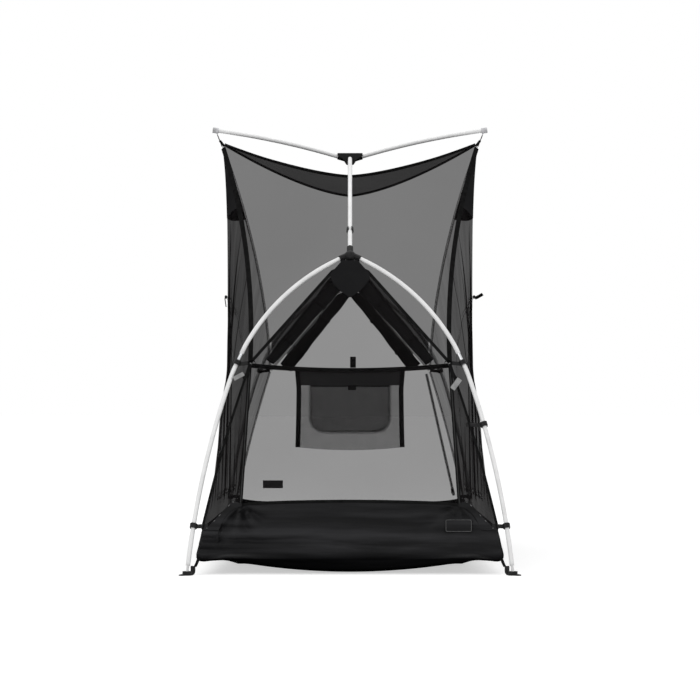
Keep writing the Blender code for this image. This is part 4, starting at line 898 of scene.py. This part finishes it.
def tubPiece():
    # one grid over the whole groundsheet: its outer rings are the folded-up walls, and its middle lies on the ground
    nx, ny, rings = tub["across"], tub["along"], tub["rings"]
    i, j = np.meshgrid(np.arange(nx + 1), np.arange(ny + 1))
    ring = np.minimum(np.minimum(i, nx - i), np.minimum(np.minimum(j, ny - j), rings)).astype(float)
    across, up = np.clip((2 * i - nx) / (nx - 2 * ring), -1, 1), np.clip((2 * j - ny) / (ny - 2 * ring), -1, 1)
    onEnd = np.abs(up) >= np.abs(across)
    spot = np.where(onEnd, across, up)
    corner = np.abs(spot) ** 4
    level = ring / rings * 4
    topZ = np.where(onEnd, np.where(up < 0, tubTop(front, across), tubTop(rear, across)), tubTopZ)
    topX = np.where(onEnd, seamX, sideWidth(up * planeOut(tubTopZ), tubTopZ))
    topY = planeOut(topZ)
    cx, cy = tubCornerX, tubCornerY
    drawn = mix(0.50, 0.62, corner)

    def through(values):  # a smooth line through five ring sizes, at each point's level
        values = [v + 0 * corner for v in values]
        low = np.clip(np.floor(level), 0, 3).astype(int)
        f = level - low
        stack = np.stack([2 * values[0] - values[1], *values, 2 * values[4] - values[3]])
        p0, p1, p2, p3 = (np.take_along_axis(stack, (low + k)[None], 0)[0] for k in range(4))
        return p1 + 0.5 * f * (p2 - p0 + f * (2 * p0 - 5 * p1 + 4 * p2 - p3 + f * (3 * (p1 - p2) + p3 - p0)))

    halfX = through([topX, mix(topX, cx, drawn), cx - 0.010 * (1 - corner), cx - mix(0.044, 0.034, corner), cx - 0.094])
    halfY = through([topY, mix(topY, cy, drawn), cy - 0.006 * (1 - corner), cy - mix(0.044, 0.036, corner), cy - 0.104])
    z = through([topZ, mix(topZ, mix(0.050, 0.036, corner), 0.47), mix(0.052, 0.038, corner), mix(0.014, 0.024, corner),
                 0.0005])
    x, y = across * halfX, up * halfY
    inner = np.sin(np.clip(level, 0, 4) / 4 * math.pi) * (1 - spot**2)
    wave = np.sin(math.tau * np.where(onEnd, x, y) / tub["wavePitch"] + 1.9 * level)
    small = 0.0016 * np.sin(level * 7.0 + 3.0 * np.sin(2.3 * spot + 1.0))
    small = small * np.sin(np.clip(level, 0, 3.2) / 3.2 * math.pi)
    push = inner * tub["wave"] * wave + small * (1 - spot**4)
    push = np.where(onEnd & (up < 0), 0.35 * push + tubFolds(x, z, level), push)
    x = x + np.where(onEnd, 0, np.sign(across) * push)
    y = y + np.where(onEnd, np.sign(up) * push, 0)
    rise = np.minimum(1, (x / 0.25) ** 2) * smooth(0.365, 0.290, np.abs(x)) * np.clip((-0.55 - y) / 0.35, 0, 1)
    z = np.maximum(z, 0.0005) + tub["frontLift"] * rise * smooth(1.2, 3.0, level)
    points = np.stack([x, y, z], -1)
    made = cloth("tubSheet", points, cloths["tub"], slot="tub_cloth")
    thickness = made.modifiers.new("thickness", "SOLIDIFY")
    thickness.thickness, thickness.offset = 0.0008, 0.0
    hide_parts("tub_floor")
    near = (y < -0.9) & onEnd & (level < 2) & (np.abs(x - label["x"]) < 0.05) & (np.abs(z - label["z"]) < 0.03)
    return x[near], y[near], z[near]


def quadratic(a, b):
    return np.stack([1 + 0 * a, a, b, a * b, a * a, b * b], -1)


def frontPatch(x, y, z):
    # a bare cloth patch with a sewn edge, on a quadratic surface fitted through the front tub wall behind it
    fit = np.linalg.lstsq(quadratic(x, z), y, rcond=None)[0]

    def onWall(u, v, lift):
        px, pz = label["x"] + u * label["width"] / 2, label["z"] + v * label["height"] / 2
        return np.stack([px, quadratic(px, pz) @ fit - lift, pz], -1)

    made = cloth("tubPatch", onWall(*patchGrid, 0.0030), cloths["tub"], slot="tub_cloth")
    turn = np.linspace(0, math.tau, 121)[:-1]
    u, v = (np.sign(w) * np.abs(w) ** 0.12 for w in (np.cos(turn), np.sin(turn)))
    edge = onWall(0.94 * u, 0.88 * v, 0.0034)
    edge = along(np.concatenate([edge, edge[:1]]), 160)
    rim = carried("tubPatchStitch", edge, roundProfile(0.0004, 6), (0, 1, 0), stitchWeb)


def rearPatch():
    u, v = patchGrid
    points = onPlane(rearLabel["x"] + u * rearLabel["half"], rearLabel["z"] + v * rearLabel["halfHeight"], rear, 0.0014)
    made = cloth("rearPatch", points, cloths["grey"], slot="tub_cloth")


frontPatch(*tubPiece())
rearPatch()
for side in (left, right):
    tubGusset(side)
print("tub done")


rolls = {
    front: {"inset": (0.0325, 0.0255), "half": (0.0130, 0.0250), "from": 0.036},
    rear: {"inset": (0.0270, 0.0175), "half": (0.0225, 0.0170), "from": 0.040},
    "thick": 0.0075, "turns": 3.25, "core": 0.30, "ties": (0.22, 0.62), "tieWidth": 0.009,
}


def flapRoll(side, end):
    # a flattened spiral carried along the gable seam, its inset and width changing evenly, mitred at the apex
    look = rolls[end]
    low = knot(side, end)
    high = np.array([side * gableTurn, end * planeOut(turnZ), turnZ])
    way = unit(high - low)
    inward = np.cross(way, planeIn(end))
    inward = inward * (-1 if inward[2] > 0 else 1)
    stop = (abs(low[0]) - look["inset"][1] * abs(inward[0])) / abs(way[0])
    t = np.linspace(0, 1, 70)
    run, inset, half = mix(look["from"], stop, t), mix(*look["inset"], t), mix(*look["half"], t)
    path = low + way * run[:, None] + inward * inset[:, None] + planeIn(end) * (0.0012 + rolls["thick"] * 1.1)
    turn = np.linspace(0, rolls["turns"] * math.tau, 90)
    lump = 1 + 0.05 * np.sin(2 * turn[None] + 9 * t[:, None]) + 0.04 * np.sin(3 * turn[None] - 23 * t[:, None])
    pinch = 1 - 0.03 * sum(np.exp(-(((t - tie) / 0.02) ** 2)) for tie in rolls["ties"])
    size = pinch[:, None] * mix(rolls["core"], 1.0, (turn / turn[-1]) ** 0.8) * lump
    across = half[:, None] * size * np.sign(np.cos(turn)) * np.abs(np.cos(turn)) ** 0.8
    points = carriedPoints(path, np.stack([across, rolls["thick"] * size * np.sin(turn)], -1), planeIn(end))
    points[..., 0] = side * np.maximum(side * points[..., 0], 0.0006)
    points[..., 2] = np.minimum(points[..., 2], gableTop(points[..., 0]) - 0.0022)
    name = f"{endNames[end]}_{sideNames[side]}"
    made = cloth(f"flapRoll_{name}", points, cloths["rolled"], slot="flap_cloth")
    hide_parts(f"flap_roll_{name}")
    ring = np.linspace(0, math.tau, 41)
    hoops = np.stack(np.broadcast_arrays(half[:, None] * 0.96 * np.cos(ring), rolls["thick"] * 1.02 * np.sin(ring)), -1)
    hoops = carriedPoints(path, hoops, planeIn(end))
    ties = [ribbon(f"rollTie_{name}_{index}", hoops[int(tie * 69)], way, rolls["tieWidth"], 0.0010, webbing)
            for index, tie in enumerate(rolls["ties"])]


for end in (front, rear):
    for side in (left, right):
        flapRoll(side, end)


def strapHeight(x):
    return knotZ - 0.006 - 0.012 * (1 - (x / knotX) ** 2)


strap = {"half": 0.243, "lift": 0.00155, "width": 0.012, "thick": 0.0015}
strapLoop = {"x": 0.0074, "up": 0.0075, "height": 0.0265, "lift": 0.0035, "sway": 0.003, "width": 0.0145,
             "thick": 0.0011}


def crossStrap():
    x = np.linspace(-strap["half"], strap["half"], 60)
    centre = onPlane(x, strapHeight(x), front, strap["lift"])
    made = ribbon("crossStrap", centre, planeUp(front), strap["width"], strap["thick"], webbing)
    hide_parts("cross_strap")
    t = np.linspace(0, 1, 24)
    z = strapHeight(0) + strapLoop["up"] + strapLoop["height"] * np.sin(math.pi * t)
    points = onPlane(strapLoop["x"], z, front, strapLoop["lift"] + strapLoop["sway"] * np.sin(math.tau * t))
    ribbon("strapLoop", points, (1, 0, 0), strapLoop["width"], strapLoop["thick"], webbing)


pocket = {"half": 0.136, "top": 0.499, "lift": 0.0026, "drop": 0.203, "hemRise": 0.008, "header": 0.044,
          "binding": 0.012, "pouchHalf": 0.098, "pouchTop": 0.455, "pouchHeight": 0.114, "pouchCorner": 0.035,
          "band": 0.009, "belly": 0.010}


def gearPocket():
    # a flat net panel whose lower edge curves, with a solid band over its top, bound sides and a U-shaped pouch inside
    outY = pocket["lift"] / planeIn(front)[1] - planeOut(pocket["top"])
    swing = {"body": "gear_pocket", "slot": "pocket_mesh"}

    def panel(u, v, deep):
        x = u * (pocket["half"] - 0.004 * smooth(0, 0.3, v) + 0.003 * v**2)
        z = pocket["top"] - pocket["drop"] * v + pocket["hemRise"] * u**2 * v
        sway = 0.0009 * np.sin(9 * u + 2) * v + 0.0006 * np.sin(23 * u - 1) * v
        return np.stack([x + 0 * v, outY + 0.0012 + sway + deep + 0 * z, z], -1)

    def upright(x, z, lift):
        return np.stack(np.broadcast_arrays(x, outY + lift, z), -1)

    u, v = grid((-1, 1, 70), (0, 1, 50))
    made = cloth("pocketNet", panel(u, v, 0.0), nets["pocket"], **swing)
    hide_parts("gear_pocket")
    u, v = grid((-1, 1, 70), (0, pocket["header"] / pocket["drop"], 12))
    header = cloth("pocketHeader", panel(u, v, -0.0006), cloths["band"], **swing)
    v = np.linspace(0.0, 1.0, 40)
    for side in (left, right):
        path = panel(side * (1 - 0.5 * pocket["binding"] / pocket["half"]) + 0 * v, v, -0.0002)
        name = f"pocketBinding_{sideNames[side]}"
        ribbon(name, path, (1, 0, 0), pocket["binding"], 0.0012, binding, **swing)
    fall = pocket["pouchHeight"] * v
    past = np.maximum(fall - (pocket["pouchHeight"] - pocket["pouchCorner"]), 0)
    half = pocket["pouchHalf"] - pocket["pouchCorner"] + np.sqrt(np.maximum(pocket["pouchCorner"] ** 2 - past**2, 0))
    z = pocket["pouchTop"] - fall
    u = np.linspace(-1, 1, 50)
    bulge = pocket["belly"] * (1 - u**4) * (1 - v[:, None] ** 3)
    pouch = cloth("pocketPouch", upright(half[:, None] * u, z[:, None], 0.0022 + bulge), nets["pouch"], **swing)
    path = along(upright(np.concatenate([-half, half[::-1]]), np.concatenate([z, z[::-1]]), 0.0026), 140)
    rim = ribbon("pouchBinding", path, np.cross(unit(np.gradient(path, axis=0)), [0, 1, 0]), pocket["band"], 0.0010,
                 nets["pouchBand"], **swing)
    u = np.linspace(-1, 1, 40)
    mouth = upright(u * pocket["pouchHalf"], pocket["pouchTop"], 0.0022 + pocket["belly"] * (1 - u**4))
    hem = ribbon("pouchMouth", mouth, (0, 0, 1), 0.005, 0.0009, binding, **swing)
    tab = upright(0.005, 0.4565 - 0.012 * np.linspace(0, 1, 16), -0.0012)
    ribbon("pocketTab", tab, (1, 0, 0), 0.020, 0.0010, webbing, **swing)


crossStrap()
gearPocket()
print("flaps, strap and pocket done")


cornerStraps = {"from": (0.3722, 1.0072, 0.0195), "to": (0.3640, 0.9985, 0.0395), "slack": 0.0012,
                "width": 0.0105, "thick": 0.0016}


def cornerStrap(side, end):
    # from the foot hook up to the tub's corner, a little slack
    name = f"{endNames[end]}_{sideNames[side]}"
    t = np.linspace(0, 1, 20)[:, None]
    path = mix(np.array(cornerStraps["from"]), np.array(cornerStraps["to"]), t) * [side, end, 1]
    path[:, 2] -= cornerStraps["slack"] * np.sin(math.pi * t[:, 0])
    made = ribbon(f"cornerStrap_{name}", path, (side, -end, 0), cornerStraps["width"], cornerStraps["thick"], webbing)
    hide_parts(f"corner_strap_{name}")


knotTail = {"x": 0.2475, "out": 0.014, "z": 0.508, "length": 0.038, "lift": 0.004, "sway": 0.003, "width": 0.009}
knotTags = {left: {"x": (-0.262, -0.287), "z": (0.482, 0.4695), "width": 0.0105},
            right: {"x": (0.2705, 0.2520), "z": (0.4690, 0.4445), "width": 0.0135}}
knotLoop = {"x": 0.243, "z": 0.509, "across": 0.009, "up": 0.0075, "lift": -0.0045, "width": 0.008}


def knotStrap(side):
    # the webbing that hangs from each front knot, the pale tag sewn to its end, and a small folded loop over the knot
    name, look = f"front_{sideNames[side]}", knotTags[side]
    t = np.linspace(0, 1, 24)
    path = onPlane(side * (knotTail["x"] + knotTail["out"] * t**2), knotTail["z"] - knotTail["length"] * t, front,
                   -knotTail["lift"] - knotTail["sway"] * np.sin(3 * t))
    ribbon(f"knotTail_{name}", path, (1, 0, 0), knotTail["width"], 0.0011, webbing)
    (x1, x2), (z1, z2) = look["x"], look["z"]
    tag = onPlane(mix(x1, x2, t), mix(z1, z2, t), front, 0.002 * t - 0.0085)
    ribbon(f"knotTag_{name}", tag, (z1 - z2, 0, x2 - x1), look["width"], 0.0010, tagWeb)
    turn = np.linspace(0.2, math.tau - 0.2, 30)
    x = side * (knotLoop["x"] + knotLoop["across"] * np.cos(turn))
    ring = onPlane(x, knotLoop["z"] + knotLoop["up"] * np.sin(turn), front, knotLoop["lift"])
    ribbon(f"knotLoop_{name}", ring, planeIn(front), knotLoop["width"], 0.0012, webbing)


slider = {"x": 0.3462, "z": 0.707, "half": 0.0045, "thick": 0.0070, "width": 0.0100, "pullWidth": 0.0090}
pulls = {left: {"from": (-0.3490, 0, 0.7035), "way": (0.0035, 0, -0.024), "bend": 1.0, "across": (0, 1, 0),
                "thick": 0.0024},
         right: {"from": (0.3490, 0, 0.7045), "way": (0.021, 0, 0.011), "bend": 1.3, "across": (-0.5, 0, 1),
                 "thick": 0.0042}}


def sideSlider(side):
    # a small lacquered slider on the side zip, with a webbing pull that stands out on the right and hangs on the left
    name, look = f"zip_slider_{sideNames[side]}", pulls[side]
    y = np.linspace(-slider["half"], slider["half"], 12)
    path = np.stack([side * slider["x"] + 0 * y, y, slider["z"] + 0 * y], -1)
    swell = 0.80 + 0.20 * np.sqrt(1 - (y / (slider["half"] + 0.0001)) ** 2)
    shape = flatProfile(slider["thick"], slider["width"], 16, 0.6)
    body = carried(f"sliderBody_{sideNames[side]}", path, shape, (0, 0, 1), lacquer, swell, name)
    t = np.linspace(0, 1, 24)[:, None]
    path = look["from"] + look["way"] * np.concatenate([t, t, t ** look["bend"]], 1)
    pull = ribbon(f"pullTab_{sideNames[side]}", path, look["across"], slider["pullWidth"], look["thick"], webbing, name)
    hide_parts(name)
    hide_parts(name)


cornerTabs = {"from": (0.3500, -0.0105, 1.127), "way": (0.0130, 0, 0.016), "width": 0.007, "thick": 0.0010}


def cornerTab(side):
    # a short tab on the net's upper corner, in front of the tie
    path = (cornerTabs["from"] + cornerTabs["way"] * np.linspace(0, 1, 12)[:, None]) * [side, 1, 1]
    ribbon(f"cornerTab_{sideNames[side]}", path, (side, 0, -0.8), cornerTabs["width"], cornerTabs["thick"], webbing)


for side in (left, right):
    sideSlider(side)
    cornerTab(side)
    for end in (front, rear):
        cornerStrap(side, end)
    knotStrap(side)
print("straps done")


softened = {"width": 0.0006, "segments": 2}
finishes = {"corner_tie": tiePlastic, "zip_slider": lacquer}
for name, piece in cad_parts.items():
    if piece.hide_render:
        continue
    piece.data.materials.clear()
    piece.data.materials.append(next((m for key, m in finishes.items() if key in name), plastic))
    weld = piece.modifiers.new("weld", "WELD")
    weld.merge_threshold = 0.00001
    bevel = piece.modifiers.new("softEdges", "BEVEL")
    bevel.width, bevel.segments = softened["width"], softened["segments"]
    bevel.limit_method, bevel.angle_limit = "ANGLE", math.radians(35)
    bevel.harden_normals = False
print("fittings finished")
